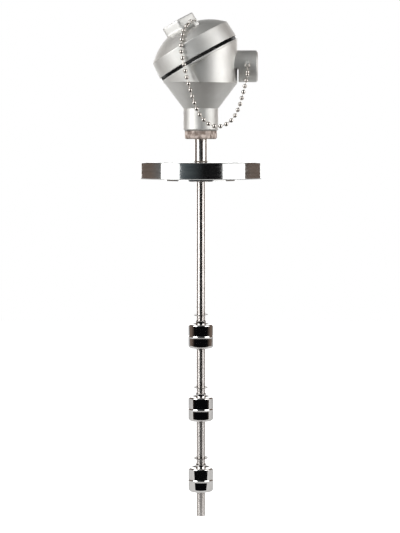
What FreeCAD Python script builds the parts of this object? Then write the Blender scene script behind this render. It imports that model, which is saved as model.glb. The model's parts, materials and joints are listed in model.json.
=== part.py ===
import FreeCAD, Part
import math
import os
import re

import Sketcher
from FreeCAD import Placement, Rotation, Vector

# Flange-mounted level switch with three floats and a slanted screw-lid terminal head.
# Millimetres. The origin is the centre of the flange's raised sealing face, +Z points up
# to the head, and the stem hangs down along -Z. The head's slanted pieces are drawn about
# the lid's own axis, whose zero height is the middle of the gasket.

SIZES = [
    # flange, 1 1/2 inch class 150
    ("flange_diameter", 127.0),
    ("flange_thickness", 17.0),
    ("flange_edge_break", 0.8),
    ("raised_face_setback", 27.0),
    ("raised_face_height", 2.0),
    ("bolt_edge_distance", 14.3),
    ("bolt_hole_diameter", 15.9),
    ("bolt_count", 4),
    # riser tube between flange and bushing
    ("riser_diameter", 12.7),
    ("riser_wall", 1.5),
    ("riser_socket", 8.0),
    ("riser_free_length", 23.5),
    ("weld_leg", 2.2),
    ("weld_face_radius", 5.3),
    # hexagon reducing bushing
    ("bushing_flats", 29.2),
    ("bushing_hex_height", 8.6),
    ("bushing_corner_worn", 0.3),
    ("bushing_break_height", 1.1),
    ("bushing_break_width", 2.0),
    ("bushing_spigot", 14.0),
    ("bushing_socket", 6.5),
    ("pipe_bore_diameter", 26.4),
    # terminal head
    ("neck_diameter", 35.6),
    ("neck_height", 22.5),
    ("neck_edge_break", 1.2),
    ("cone_height", 25.6),
    ("barrel_diameter", 74.2),
    ("head_wall", 4.3),
    ("rim_tilt", 29.6),
    ("rim_offset", 2.2),
    ("rim_level", 50.9),
    ("collar_setback", 1.1),
    ("collar_flank", 12.0),
    ("rim_thickness", 1.8),
    ("seat_depth", 4.0),
    ("thread_diameter", 80.4),
    ("thread_wall", 6.0),
    ("thread_reach", 8.0),
    ("thread_clearance", 0.35),
    # slanted lid
    ("lid_skirt", 3.95),
    ("lid_side", 15.4),
    ("lid_draft", 0.9),
    ("lid_edge_radius", 3.0),
    ("lid_edge_reach", 1.5),
    ("lid_edge_rise", 2.35),
    ("dome_height", 35.0),
    ("lid_wall", 3.6),
    ("lid_inner_flat", 6.0),
    ("lid_shoulder", 2.0),
    ("thread_end_room", 1.0),
    ("lid_hex_flats", 34.5),
    ("lid_hex_turn", 30.0),
    ("lid_hex_height", 7.0),
    ("lid_hex_root", 5.0),
    ("lug_width", 4.8),
    ("lug_top", 35.8),
    ("lug_height", 8.2),
    ("lug_thickness", 2.0),
    ("lug_side", 14.5),
    ("lug_front", 26.0),
    ("lug_hole_in", 2.1),
    # gasket in the gap
    ("gasket_thickness", 3.4),
    ("gasket_setback", 0.4),
    ("gasket_clearance", 0.15),
    # conduit boss on the head
    ("boss_diameter", 32.4),
    ("boss_inner", 38.5),
    ("boss_outer", 57.7),
    ("boss_above_edge", 17.4),
    ("boss_edge_break", 1.4),
    ("web_drop", 2.8),
    ("entry_diameter", 19.0),
    ("entry_depth", 14.0),
    ("wire_way_diameter", 11.0),
    ("wire_way_rise", 4.6),
    ("eye_thickness", 2.4),
    ("eye_radius", 2.8),
    ("eye_place", 46.9),
    ("eye_front", 18.7),
    ("eye_above_boss", 2.4),
    ("eye_hole_diameter", 2.6),
    # ball chain
    ("bead_diameter", 4.4),
    ("bead_sides", 16),
    ("bead_pitch", 6.6),
    ("pin_diameter", 1.1),
    ("split_ring_radius", 2.3),
    ("split_ring_wire", 1.0),
    ("clasp_eye_radius", 1.8),
    ("clasp_eye_wire", 0.8),
    ("clasp_neck_diameter", 1.2),
    ("clasp_diameter", 3.8),
    ("clasp_length", 2.6),
    ("link_slack", 0.25),
    # terminal block inside the head
    ("block_diameter", 50.0),
    ("block_thickness", 7.0),
    ("block_hole_diameter", 16.0),
    ("block_above_edge", 2.0),
    ("terminal_count", 4),
    ("terminal_circle", 33.0),
    ("plate_length", 11.0),
    ("plate_width", 7.0),
    ("plate_thickness", 1.6),
    ("terminal_screw_diameter", 3.5),
    ("terminal_screw_length", 5.6),
    ("terminal_head_diameter", 5.8),
    ("terminal_head_height", 2.6),
    ("pillar_diameter", 8.0),
    ("pillar_circle", 42.0),
    ("pillar_screw_diameter", 4.0),
    ("pillar_screw_length", 12.0),
    ("pillar_head_diameter", 7.6),
    ("pillar_head_height", 2.4),
    ("earth_post_diameter", 8.0),
    ("earth_screw_diameter", 3.0),
    ("earth_screw_length", 6.0),
    ("earth_head_diameter", 5.7),
    ("earth_head_height", 1.8),
    ("earth_washer_diameter", 6.4),
    ("earth_washer_thickness", 0.8),
    ("earth_washer_room", 0.1),
    ("screw_clearance", 0.25),
    ("screw_slot_width", 0.8),
    ("screw_slot_depth", 1.1),
    ("screw_head_break", 0.7),
    ("tapped_spare", 0.5),
    ("grommet_thickness", 4.0),
    ("grommet_bore", 7.0),
    # stem under the flange
    ("stem_diameter", 8.8),
    ("stem_wall", 1.0),
    ("stem_length", 344.4),
    ("stem_collar_diameter", 24.0),
    ("stem_collar_height", 1.0),
    ("stem_collar_seat", 1.0),
    ("stem_collar_break", 0.3),
    ("end_plug_thickness", 2.0),
    # floats and their stop rings
    ("stem_stub", 25.5),
    ("lower_float_spacing", 72.9),
    ("upper_float_spacing", 74.7),
    ("float_travel", 4.8),
    ("float_diameter", 25.4),
    ("float_height", 24.5),
    ("float_seam_height", 11.6),
    ("float_seam_proud", 0.4),
    ("float_seam_width", 0.8),
    ("float_shell", 0.6),
    ("float_corner", 2.6),
    ("float_dish", 1.3),
    ("sleeve_bore", 9.6),
    ("sleeve_wall", 0.4),
    ("sleeve_rise", 4.4),
    ("sleeve_flare", 0.5),
    ("sleeve_flare_height", 1.5),
    ("magnet_wall", 3.0),
    ("magnet_height", 10.0),
    ("ring_diameter", 14.0),
    ("ring_thickness", 0.8),
    ("ring_groove", 0.4),
    ("ring_gap_width", 3.4),
    # switches and wires inside the stem
    ("reed_diameter", 2.2),
    ("reed_length", 14.0),
    ("reed_end_diameter", 1.3),
    ("reed_taper", 0.55),
    ("reed_lead_diameter", 0.6),
    ("reed_lead_length", 4.0),
    ("reed_front", 0.95),
    ("carrier_width", 5.0),
    ("carrier_thickness", 0.8),
    ("carrier_back", 0.15),
    ("wire_diameter", 1.0),
    ("wire_wall_room", 0.6),
    ("wire_bend", 8.0),
]

# the chain's line, from the lid's lug over the hexagon and the rim, then hanging free in a
# low loop in front of the neck and up to the eye on the conduit boss. Each point has how far it
# is to the right of the stem's axis, in front of the lid's rim, and above the flange's face
CHAIN_ROUTE = [
    (-17.3, -10.7, 150.6),
    (-18.8, -3.6, 143.4),
    (-19.8, -0.1, 137.0),
    (-19.6, 1.7, 129.6),
    (-17.6, 1.9, 119.8),
    (-14.8, 2.3, 107.0),
    (-10.6, 1.9, 91.0),
    (-5.6, 0.7, 75.8),
    (1.6, -1.1, 62.8),
    (12.4, -4.1, 55.5),
    (24.0, -7.5, 56.6),
    (33.4, -11.3, 64.8),
    (39.4, -15.3, 78.0),
    (43.6, -19.9, 93.2),
]

# the way round the stem at which each wire runs, in degrees, the switch that it comes from, and
# the number of the terminal that it turns out to
WIRES = [
    ("lead_top_switch", 214, "top", 2),
    ("lead_middle_switch", 326, "middle", 3),
    ("lead_bottom_switch", 61, "bottom", 0),
    ("lead_common", 119, "bottom", 1),
]

doc = FreeCAD.newDocument("FloatSwitch")
sheet = doc.addObject("Spreadsheet::Sheet", "Sizes")
for row, (alias, number) in enumerate(SIZES, 1):
    sheet.set(f"A{row}", alias)
    sheet.set(f"B{row}", str(number))
    sheet.setAlias(f"B{row}", alias)
doc.recompute()

# a cutting shape runs this far past the face that it opens, and a cast part of one piece this
# far into its neighbour
OVERRUN = 1
# a hair of overlap, so that two cuts that meet leave no skin between them
HAIR = 0.01
# the way the lid's clasp lies, given along, across and up the lid
CLASP_LEAN = (-0.92, -0.2, -0.33)
# the way the split ring hangs off the lug, given round the lid and up it
RING_LEAN = (-0.94, 0.34)

aliases = {alias for alias, _ in SIZES}
sub_parts = []
helpers = 0

# places worked out from the sizes
RAISED_FACE = "(flange_diameter - 2 * raised_face_setback)"
BOLT_CIRCLE = "(flange_diameter - 2 * bolt_edge_distance)"
FLANGE_TOP = "(raised_face_height + flange_thickness)"
RISER_BASE = f"({FLANGE_TOP} - riser_socket)"
BUSHING_BASE = f"({FLANGE_TOP} + riser_free_length)"
RISER_TOP = f"({BUSHING_BASE} + bushing_socket)"
NECK_BASE = f"({BUSHING_BASE} + bushing_hex_height)"
SPIGOT_TOP = f"({NECK_BASE} + bushing_spigot)"
NECK_TOP = f"({NECK_BASE} + neck_height)"
EDGE = f"({NECK_TOP} + cone_height)"
RIM = f"({NECK_TOP} + rim_level)"
BOSS = f"({EDGE} + boss_above_edge)"
BLOCK_BASE = f"({EDGE} + block_above_edge)"
BLOCK_TOP = f"({BLOCK_BASE} + block_thickness)"
PLATE_TOP = f"({BLOCK_TOP} + plate_thickness)"
LID = "(thread_diameter + 2 * thread_clearance + 2 * lid_skirt)"
COLLAR = f"({LID} - 2 * collar_setback)"
SEAT = "(-gasket_thickness / 2)"
LID_BASE = "(gasket_thickness / 2)"
STEM_BORE = "(stem_diameter / 2 - stem_wall)"
FLOAT_REST = {"bottom": "(stem_stub - stem_length)"}
FLOAT_REST["middle"] = f"({FLOAT_REST['bottom']} + lower_float_spacing)"
FLOAT_REST["top"] = f"({FLOAT_REST['middle']} + upper_float_spacing)"
DOME_TOP = f"({LID_BASE} + dome_height)"
LUG_REACH = "sqrt(lug_side ^ 2 + lug_front ^ 2)"
EARTH_PLACE = "(barrel_diameter / 2 - head_wall - earth_washer_diameter / 2 - earth_washer_room)"
LUG_HOLE_UP = "(lug_top - lug_hole_in)"


def bound(text):
    """The expression with each size's name turned into its cell."""
    return re.sub(r"[a-z][a-z_]*", lambda word: "Sizes." + word.group()
                  if word.group() in aliases else word.group(), str(text))


def value(text):
    """The number that an expression of sizes gives."""
    found = sheet.evalExpression(bound(text))
    return float(getattr(found, "Value", found))


def inner_name():
    """A name for a shape that only helps to make a sub-part."""
    global helpers
    helpers += 1
    return f"Step{helpers}"


def place_upright(thing, x="0", y="0", z="0"):
    """Stand a shape on the part's own axes at a point."""
    for axis, text in zip("xyz", (x, y, z)):
        thing.setExpression(f"Placement.Base.{axis}", bound(text))
    return thing


def place_on_lid(thing):
    """Lean a shape about the lid's axis, from the middle of the gasket."""
    thing.Placement = Placement(Vector(), Rotation(Vector(0, -1, 0), value("rim_tilt")))
    thing.setExpression("Placement.Base.x", bound("-rim_offset"))
    thing.setExpression("Placement.Base.z", bound(RIM))
    thing.setExpression("Placement.Rotation.Angle", bound("rim_tilt"))
    return thing


def place_sideways(thing, z="0"):
    """Turn a shape's own axis from +Z to +X, at a height."""
    thing.Placement = Placement(Vector(), Rotation(Vector(0, 1, 0), 90))
    thing.setExpression("Placement.Base.z", bound(z))
    return thing


def on_lid(u, w, v):
    """A point given along, across and up the lid, in the part's own axes."""
    tilt = math.radians(value("rim_tilt"))
    x = -value("rim_offset") + u * math.cos(tilt) - v * math.sin(tilt)
    return Vector(x, w, value(RIM) + u * math.sin(tilt) + v * math.cos(tilt))


def origin_plane(body, role):
    """One of a body's own base planes."""
    return [item for item in body.Origin.OriginFeatures if item.Role == role][0]


def new_sketch(body, role):
    """An empty sketch on a base plane of its own body."""
    sketch = body.newObject("Sketcher::SketchObject", inner_name())
    sketch.AttachmentSupport = (origin_plane(body, role), [""])
    sketch.MapMode = "FlatFace"
    return sketch


def arc_between(start, end, radius):
    """A sketch arc; a plus radius turns left from start to end, a minus radius turns right."""
    middle = (start + end) / 2
    chord = end - start
    left = Vector(-chord.y, chord.x, 0).normalize()
    reach = math.sqrt(radius * radius - chord.Length * chord.Length / 4)
    centre = middle + left * math.copysign(reach, radius)
    first, last = (start, end) if radius > 0 else (end, start)
    angles = [math.atan2(p.y - centre.y, p.x - centre.x) for p in (first, last)]
    if angles[1] < angles[0]:
        angles[1] += 2 * math.pi
    circle = Part.Circle(centre, Vector(0, 0, 1), abs(radius))
    return Part.ArcOfCircle(circle, *angles)


def draw(sketch, outline):
    """Close an outline of (across, up) corners; a third entry makes the edge that follows an arc."""
    corners = [Vector(value(corner[0]), value(corner[1]), 0) for corner in outline]
    ends = []
    for i, corner in enumerate(outline):
        start, end = corners[i], corners[(i + 1) % len(corners)]
        if len(corner) == 3:
            radius = value(corner[2])
            sketch.addGeometry(arc_between(start, end, radius), False)
            ends.append((1, 2) if radius > 0 else (2, 1))
        else:
            sketch.addGeometry(Part.LineSegment(start, end), False)
            ends.append((1, 2))
    count = len(outline)
    for i in range(count):
        following = (i + 1) % count
        sketch.addConstraint(
            Sketcher.Constraint("Coincident", i, ends[i][1], following, ends[following][0])
        )
    for i, corner in enumerate(outline):
        for kind, axis, text, at in (
            ("DistanceX", -2, corner[0], corners[i].x),
            ("DistanceY", -1, corner[1], corners[i].y),
        ):
            if str(text) == "0":
                sketch.addConstraint(Sketcher.Constraint("PointOnObject", i, ends[i][0], axis))
                continue
            index = sketch.addConstraint(Sketcher.Constraint(kind, -1, 1, i, ends[i][0], at))
            sketch.setExpression(f"Constraints[{index}]", bound(text))
        if len(corner) == 3:
            index = sketch.addConstraint(Sketcher.Constraint("Radius", i, abs(value(corner[2]))))
            sketch.setExpression(f"Constraints[{index}]", bound(f"abs({corner[2]})"))


def turned(outline):
    """A body turned about its own Z axis from an outline of (radius, height) corners."""
    body = doc.addObject("PartDesign::Body", inner_name())
    sketch = new_sketch(body, "XZ_Plane")
    draw(sketch, outline)
    feature = body.newObject("PartDesign::Revolution", inner_name())
    feature.Profile = sketch
    feature.ReferenceAxis = (sketch, ["V_Axis"])
    feature.Angle = 360
    return body


def prism(outline, bottom, top):
    """A body with an outline of (x, y) corners, padded from bottom to top along its own Z axis."""
    body = doc.addObject("PartDesign::Body", inner_name())
    sketch = new_sketch(body, "XY_Plane")
    sketch.setExpression("AttachmentOffset.Base.z", bound(bottom))
    draw(sketch, outline)
    feature = body.newObject("PartDesign::Pad", inner_name())
    feature.Profile = sketch
    feature.setExpression("Length", bound(f"({top}) - ({bottom})"))
    return body


def cylinder(diameter, bottom, top):
    """A round bar about its own Z axis, from bottom to top."""
    radius = f"({diameter}) / 2"
    return turned([("0", bottom), (radius, bottom), (radius, top), ("0", top)])


def tube(outer, inner, bottom, top):
    """A plain tube about its own Z axis; outer and inner are radii."""
    return turned([(inner, bottom), (outer, bottom), (outer, top), (inner, top)])


def hexagon(flats, turn):
    """Corners of a hexagon by its width across flats, its first corner turned from +X."""
    corners = []
    for i in range(6):
        angle = math.radians(turn + 60 * i)
        corners.append(
            (f"{flats} / sqrt(3) * {math.cos(angle):.9f}", f"{flats} / sqrt(3) * {math.sin(angle):.9f}")
        )
    return corners


def rectangle(left, right, front, back):
    """Corners of a rectangle between two x and two y expressions."""
    return [(left, front), (right, front), (right, back), (left, back)]


def fuse(*pieces):
    """Several shapes as one."""
    joined = doc.addObject("Part::MultiFuse", inner_name())
    joined.Shapes = list(pieces)
    joined.Refine = True
    return joined


def cut(base, *tools):
    """A shape with the tools taken out of it, one after another."""
    for tool in tools:
        step = doc.addObject("Part::Cut", inner_name())
        step.Base = base
        step.Tool = tool
        base = step
    return base


def common(first, second):
    """What two shapes share."""
    shared = doc.addObject("Part::MultiCommon", inner_name())
    shared.Shapes = [first, second]
    return shared


def keep(label, thing):
    """Name a finished sub-part."""
    thing.Label = label
    sub_parts.append(thing)
    return thing


def keep_solids(label, solids):
    """Name a sub-part whose solids are worked out directly."""
    feature = doc.addObject("Part::Feature", inner_name())
    feature.Shape = solids[0] if len(solids) == 1 else Part.Compound(solids)
    return keep(label, feature)


def make_flange():
    """Raised-face flange with its bolt holes astride the centre lines."""
    body = turned([
        ("stem_diameter / 2", "stem_collar_seat"),
        ("stem_collar_diameter / 2", "stem_collar_seat"),
        ("stem_collar_diameter / 2", "0"),
        (f"{RAISED_FACE} / 2", "0"),
        (f"{RAISED_FACE} / 2", "raised_face_height"),
        ("flange_diameter / 2 - flange_edge_break", "raised_face_height"),
        ("flange_diameter / 2", "raised_face_height + flange_edge_break"),
        ("flange_diameter / 2", f"{FLANGE_TOP} - flange_edge_break"),
        ("flange_diameter / 2 - flange_edge_break", FLANGE_TOP),
        ("riser_diameter / 2", FLANGE_TOP),
        ("riser_diameter / 2", RISER_BASE),
        ("stem_diameter / 2", RISER_BASE),
    ])
    sketch = new_sketch(body, "XY_Plane")
    half_step = "180 / bolt_count"
    sketch.addGeometry(Part.Circle(Vector(value(BOLT_CIRCLE) / 2, 0, 0), Vector(0, 0, 1), 5), False)
    sketch.addConstraint(Sketcher.Constraint("PointOnObject", 0, 3, -1))
    across = sketch.addConstraint(
        Sketcher.Constraint("DistanceX", -1, 1, 0, 3, value(BOLT_CIRCLE) / 2)
    )
    sketch.setExpression(f"Constraints[{across}]", bound(f"{BOLT_CIRCLE} / 2"))
    hole = sketch.addConstraint(Sketcher.Constraint("Radius", 0, value("bolt_hole_diameter") / 2))
    sketch.setExpression(f"Constraints[{hole}]", bound("bolt_hole_diameter / 2"))
    sketch.AttachmentOffset = Placement(Vector(), Rotation(Vector(0, 0, 1), value(half_step)))
    sketch.setExpression("AttachmentOffset.Rotation.Angle", bound(half_step))
    pocket = body.newObject("PartDesign::Pocket", inner_name())
    pocket.Profile = sketch
    pocket.Type = "ThroughAll"
    pocket.Midplane = True
    pattern = body.newObject("PartDesign::PolarPattern", inner_name())
    pattern.Originals = [pocket]
    pattern.Axis = ([item for item in body.Origin.OriginFeatures if item.Role == "Z_Axis"][0], [""])
    pattern.Angle = 360
    pattern.setExpression("Occurrences", bound("bolt_count"))
    body.Tip = pattern
    keep("flange", body)


def make_riser_and_bushing():
    """Riser tube, its two weld beads on the flange, and the rough hexagon bushing."""
    outer = "(riser_diameter / 2)"
    inner = f"({outer} - riser_wall)"
    keep("riser_tube", tube(outer, inner, RISER_BASE, RISER_TOP))
    keep("riser_weld", turned([
        (outer, FLANGE_TOP),
        (f"{outer} + weld_leg", FLANGE_TOP, "weld_face_radius"),
        (outer, f"{FLANGE_TOP} + weld_leg"),
    ]))
    hex_bar = prism(hexagon("bushing_flats", 0), BUSHING_BASE, NECK_BASE)
    corner = "(bushing_flats / sqrt(3))"
    rounding = turned([
        ("0", BUSHING_BASE),
        (f"{corner} - bushing_break_width", BUSHING_BASE),
        (f"{corner} - bushing_corner_worn", f"{BUSHING_BASE} + bushing_break_height"),
        (f"{corner} - bushing_corner_worn", f"{NECK_BASE} - bushing_break_height"),
        (f"{corner} - bushing_break_width", NECK_BASE),
        ("0", NECK_BASE),
    ])
    spigot = cylinder("pipe_bore_diameter", NECK_BASE, SPIGOT_TOP)
    bore = turned([
        ("0", f"{BUSHING_BASE} - {OVERRUN}"),
        (outer, f"{BUSHING_BASE} - {OVERRUN}"),
        (outer, RISER_TOP),
        (inner, RISER_TOP),
        (inner, f"{SPIGOT_TOP} + {OVERRUN}"),
        ("0", f"{SPIGOT_TOP} + {OVERRUN}"),
    ])
    keep("reducing_bushing", cut(fuse(common(hex_bar, rounding), spigot), bore))


def make_head_body():
    """Cast and turned head: neck, cone, upright barrel, slanted collar and thread, conduit boss."""
    barrel = "(barrel_diameter / 2)"
    upright = turned([
        ("0", NECK_BASE),
        ("neck_diameter / 2 - neck_edge_break", NECK_BASE),
        ("neck_diameter / 2", f"{NECK_BASE} + neck_edge_break"),
        ("neck_diameter / 2", NECK_TOP),
        (barrel, EDGE),
        (barrel, f"{RIM} + {LID}"),
        ("0", f"{RIM} + {LID}"),
    ])
    below_seat = place_on_lid(cylinder(f"3 * {LID}", f"-3 * {LID}", SEAT))
    shell = common(upright, below_seat)

    # the slanted collar stands proud on the lid's low side only, down to the cone's edge
    slant = cylinder(COLLAR, f"-{COLLAR}", SEAT)
    low_side = prism(
        rectangle(f"-{COLLAR}", "-collar_flank", f"-{COLLAR}", COLLAR),
        f"-{COLLAR}",
        SEAT,
    )
    over_edge = cylinder(f"3 * {LID}", EDGE, f"{RIM} + {LID}")
    collar = common(common(place_on_lid(slant), place_on_lid(low_side)), over_edge)
    rim = place_on_lid(cylinder(COLLAR, f"{SEAT} - rim_thickness", SEAT))
    thread = place_on_lid(cylinder("thread_diameter", f"{SEAT} - {OVERRUN}", f"{LID_BASE} + thread_reach"))

    # the conduit boss stands clear of the barrel and joins it by a web over its upper part
    boss = place_sideways(turned([
        ("0", "boss_inner"),
        ("boss_diameter / 2", "boss_inner"),
        ("boss_diameter / 2", "boss_outer - boss_edge_break"),
        ("boss_diameter / 2 - boss_edge_break", "boss_outer"),
        ("0", "boss_outer"),
    ]), BOSS)
    web_bar = place_sideways(cylinder("boss_diameter", "boss_inner / 2", f"boss_inner + {OVERRUN}"), BOSS)
    web_room = prism(
        rectangle("0", "boss_outer", "-boss_diameter", "boss_diameter"),
        f"{BOSS} - web_drop",
        f"{BOSS} + boss_diameter",
    )
    web = common(web_bar, web_room)
    eye_back = f"(boss_diameter / 2 - 2 * {OVERRUN})"
    eye_level = f"({BOSS} + eye_above_boss)"
    eye_round = place_sideways(
        cylinder("2 * eye_radius", "eye_place - eye_thickness / 2", "eye_place + eye_thickness / 2")
    )
    place_upright(eye_round, "0", "-eye_front", eye_level)
    eye_root = prism(
        rectangle(
            "eye_place - eye_thickness / 2", "eye_place + eye_thickness / 2", "-eye_front",
            f"-{eye_back}",
        ),
        f"{eye_level} - eye_radius",
        f"{eye_level} + eye_radius",
    )
    outside = fuse(shell, collar, rim, thread, boss, web, eye_round, eye_root)

    # the inside follows the outside, a wall in
    slope = f"(({barrel} - neck_diameter / 2) / cone_height)"
    room = f"({barrel} - head_wall)"
    bore = "(pipe_bore_diameter / 2)"
    side_step = f"(head_wall * sqrt(1 + {slope} * {slope}))"
    cone_foot = f"({NECK_TOP} + ({bore} + {side_step} - neck_diameter / 2) / {slope})"
    cone_head = f"({NECK_TOP} + ({room} + {side_step} - neck_diameter / 2) / {slope})"
    inside = turned([
        ("0", f"{NECK_BASE} - {OVERRUN}"),
        (bore, f"{NECK_BASE} - {OVERRUN}"),
        (bore, cone_foot),
        (room, cone_head),
        (room, f"{RIM} + {LID}"),
        ("0", f"{RIM} + {LID}"),
    ])
    below_floor = place_on_lid(
        cylinder(f"3 * {LID}", f"-3 * {LID}", f"{SEAT} - seat_depth")
    )
    mouth = place_on_lid(cylinder(
        "thread_diameter - 2 * thread_wall", f"{SEAT} - seat_depth - {HAIR}",
        f"{LID_BASE} + thread_reach + {OVERRUN}",
    ))
    entry = place_sideways(
        cylinder("entry_diameter", "boss_outer - entry_depth", f"boss_outer + {OVERRUN}"), BOSS
    )
    wire_way = place_sideways(
        cylinder("wire_way_diameter", f"{room} / 2", f"boss_outer - entry_depth + {OVERRUN}"),
        f"{BOSS} + wire_way_rise",
    )
    eye_hole = place_sideways(
        cylinder("eye_hole_diameter", "eye_place - eye_thickness", "eye_place + eye_thickness")
    )
    place_upright(eye_hole, "0", "-eye_front", eye_level)
    head = cut(outside, common(inside, below_floor), mouth, entry, wire_way, eye_hole)

    # two pillars carry the terminal block, and a post by the conduit entry takes the earth screw
    filled = turned([
        ("0", NECK_TOP),
        (f"neck_diameter / 2 - {OVERRUN}", NECK_TOP),
        (f"{barrel} - {OVERRUN}", EDGE),
        (f"{barrel} - {OVERRUN}", RIM),
        ("0", RIM),
    ])
    posts = [
        ("pillar_diameter", "pillar_screw_diameter", "pillar_screw_length - block_thickness",
         ("0", "-pillar_circle / 2")),
        ("pillar_diameter", "pillar_screw_diameter", "pillar_screw_length - block_thickness",
         ("0", "pillar_circle / 2")),
        ("earth_post_diameter", "earth_screw_diameter", "earth_screw_length", (EARTH_PLACE, "0")),
    ]
    bars = [place_upright(cylinder(width, NECK_TOP, BLOCK_BASE), *spot) for width, _, _, spot in posts]
    screw_holes = []
    for _, screw_width, depth, spot in posts:
        foot = f"{BLOCK_BASE} - {depth} - tapped_spare"
        screw_holes.append(place_upright(cylinder(screw_width, foot, f"{BLOCK_BASE} + {OVERRUN}"), *spot))
    keep("head_body", cut(fuse(head, common(fuse(*bars), filled)), *screw_holes))


def make_gasket():
    """Flat black ring in the gap between collar and lid."""
    keep("lid_gasket", place_on_lid(tube(
        f"{COLLAR} / 2 - gasket_setback", "thread_diameter / 2 + gasket_clearance", SEAT, LID_BASE
    )))


def make_lid():
    """Domed screw lid with its hexagon and the small cast lug that holds the chain."""
    side_top = f"({LID_BASE} + lid_side)"
    foot = f"({LID} / 2)"
    shoulder = f"({foot} - lid_draft)"
    edge_in = f"({shoulder} - lid_edge_reach)"
    edge_up = f"({side_top} + lid_edge_rise)"
    rise = f"({DOME_TOP} - {edge_up})"
    dome = f"(({edge_in} ^ 2 + {rise} ^ 2) / (2 * {rise}))"
    outer = turned([
        ("0", LID_BASE),
        (foot, LID_BASE),
        (shoulder, f"{side_top} - lid_edge_reach", "lid_edge_radius"),
        (edge_in, edge_up, dome),
        ("0", DOME_TOP),
    ])
    hex_boss = prism(
        hexagon("lid_hex_flats", value("lid_hex_turn")),
        f"{DOME_TOP} - lid_hex_root", f"{DOME_TOP} + lid_hex_height",
    )
    skirt = "(thread_diameter / 2 + thread_clearance)"
    inner_dome = f"({dome} - lid_wall)"
    roof_in = f"({skirt} - lid_shoulder)"
    roof_up = f"({DOME_TOP} - {dome} + sqrt({inner_dome} ^ 2 - {roof_in} ^ 2))"
    flat_in = "(lid_inner_flat / 2)"
    flat_up = f"({DOME_TOP} - {dome} + sqrt({inner_dome} ^ 2 - {flat_in} ^ 2))"
    step = f"({LID_BASE} + thread_reach + thread_end_room)"
    inside = turned([
        ("0", f"{LID_BASE} - {OVERRUN}"),
        (skirt, f"{LID_BASE} - {OVERRUN}"),
        (skirt, step),
        (roof_in, step),
        (roof_in, roof_up, inner_dome),
        (flat_in, flat_up),
        ("0", flat_up),
    ])
    lug_corners = []
    for wide, deep in ((-1, -1), (1, -1), (1, 1), (-1, 1)):
        half_width = f"({wide} * lug_width / 2 / {LUG_REACH})"
        half_depth = f"({deep} * lug_thickness / 2 / {LUG_REACH})"
        lug_corners.append((
            f"lug_side + {half_width} * lug_front - {half_depth} * lug_side",
            f"-lug_front + {half_width} * lug_side + {half_depth} * lug_front",
        ))
    lug = prism(lug_corners, "lug_top - lug_height", "lug_top")
    hole = doc.addObject("Part::Cylinder", inner_name())
    hole.setExpression("Radius", bound("eye_hole_diameter / 2"))
    hole.setExpression("Height", bound("3 * lug_thickness"))
    inward = lug_ways()[1] * -1
    front = lug_hole() - inward * value("1.5 * lug_thickness")
    hole.Placement = Placement(front, Rotation(Vector(0, 0, 1), inward))
    solid = fuse(place_on_lid(outer), place_on_lid(hex_boss), place_on_lid(lug))
    keep("head_lid", cut(solid, place_on_lid(inside), hole))


def lug_hole():
    """The middle of the hole in the lid's lug."""
    return on_lid(value("lug_side"), -value("lug_front"), value(LUG_HOLE_UP))


def lug_ways():
    """Round the lid at the lug, and straight out from the lid's axis."""
    side, front = value("lug_side"), value("lug_front")
    middle = on_lid(0, 0, 0)
    return [(on_lid(u, w, 0) - middle).normalize() for u, w in ((front, side), (side, -front))]


def split_ring(centre, across):
    """A closed wire ring round a point, its own axis along the direction across."""
    return Part.makeTorus(value("split_ring_radius"), value("split_ring_wire / 2"), centre, across)


def clasp(grip, along, across):
    """The chain's end fitting: an eye round the split ring's wire at grip, and a cup for the last bead.

    along points from the ring to the chain, and across is the eye's own axis."""
    eye_radius = value("clasp_eye_radius")
    eye_wire = value("clasp_eye_wire / 2")
    slack = eye_radius - eye_wire - value("split_ring_wire / 2 + link_slack")
    centre = grip + along * slack
    eye = Part.makeTorus(eye_radius, eye_wire, centre, across)
    neck = centre + along * eye_radius
    cup = Part.makeCone(
        value("clasp_neck_diameter / 2"), value("clasp_diameter / 2"), value("clasp_length / 2"),
        neck, along,
    )
    skirt = Part.makeCylinder(
        value("clasp_diameter / 2"),
        value("clasp_length / 2"),
        neck + along * value("clasp_length / 2"),
        along,
    )
    end = neck + along * value("clasp_length")
    return eye.fuse([cup, skirt]).removeSplitter(), end


def bead(centre, along):
    """One facetted bead of the chain, a regular octagon from the side, flat where its pins enter."""
    wide = bead_reach()
    narrow = wide * math.tan(math.pi / 8)
    levels = [(narrow, -wide), (wide, -narrow), (wide, narrow), (narrow, wide)]
    rings = [corners_round(radius, height) for radius, height in levels]
    faces = [flat_face(rings[0]), flat_face(rings[-1])]
    for low, high in zip(rings, rings[1:]):
        for i in range(len(low)):
            faces.append(flat_face([low[i - 1], low[i], high[i], high[i - 1]]))
    solid = Part.makeSolid(Part.makeShell(faces))
    solid.Placement = Placement(centre, Rotation(Vector(0, 0, 1), along))
    return solid


def link_pin(start, end):
    """The short wire that shows between two beads."""
    reach = bead_reach()
    run = end - start
    bar = flat_face(corners_round(value("pin_diameter / 2"), 0))
    bar = bar.extrude(Vector(0, 0, run.Length - reach))
    bar.Placement = Placement(start + run.normalize() * reach / 2, Rotation(Vector(0, 0, 1), run))
    return bar


def corners_round(radius, height):
    """Evenly spaced corners on a circle about the Z axis."""
    sides = int(value("bead_sides"))
    turns = [2 * math.pi * i / sides for i in range(sides)]
    return [Vector(radius * math.cos(turn), radius * math.sin(turn), height) for turn in turns]


def flat_face(corners):
    """A flat face with these corners."""
    return Part.Face(Part.makePolygon(corners + corners[:1]))


def bead_reach():
    """From a bead's centre to one of its flats."""
    return value("bead_diameter / 2") * math.cos(math.pi / 8)


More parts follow.
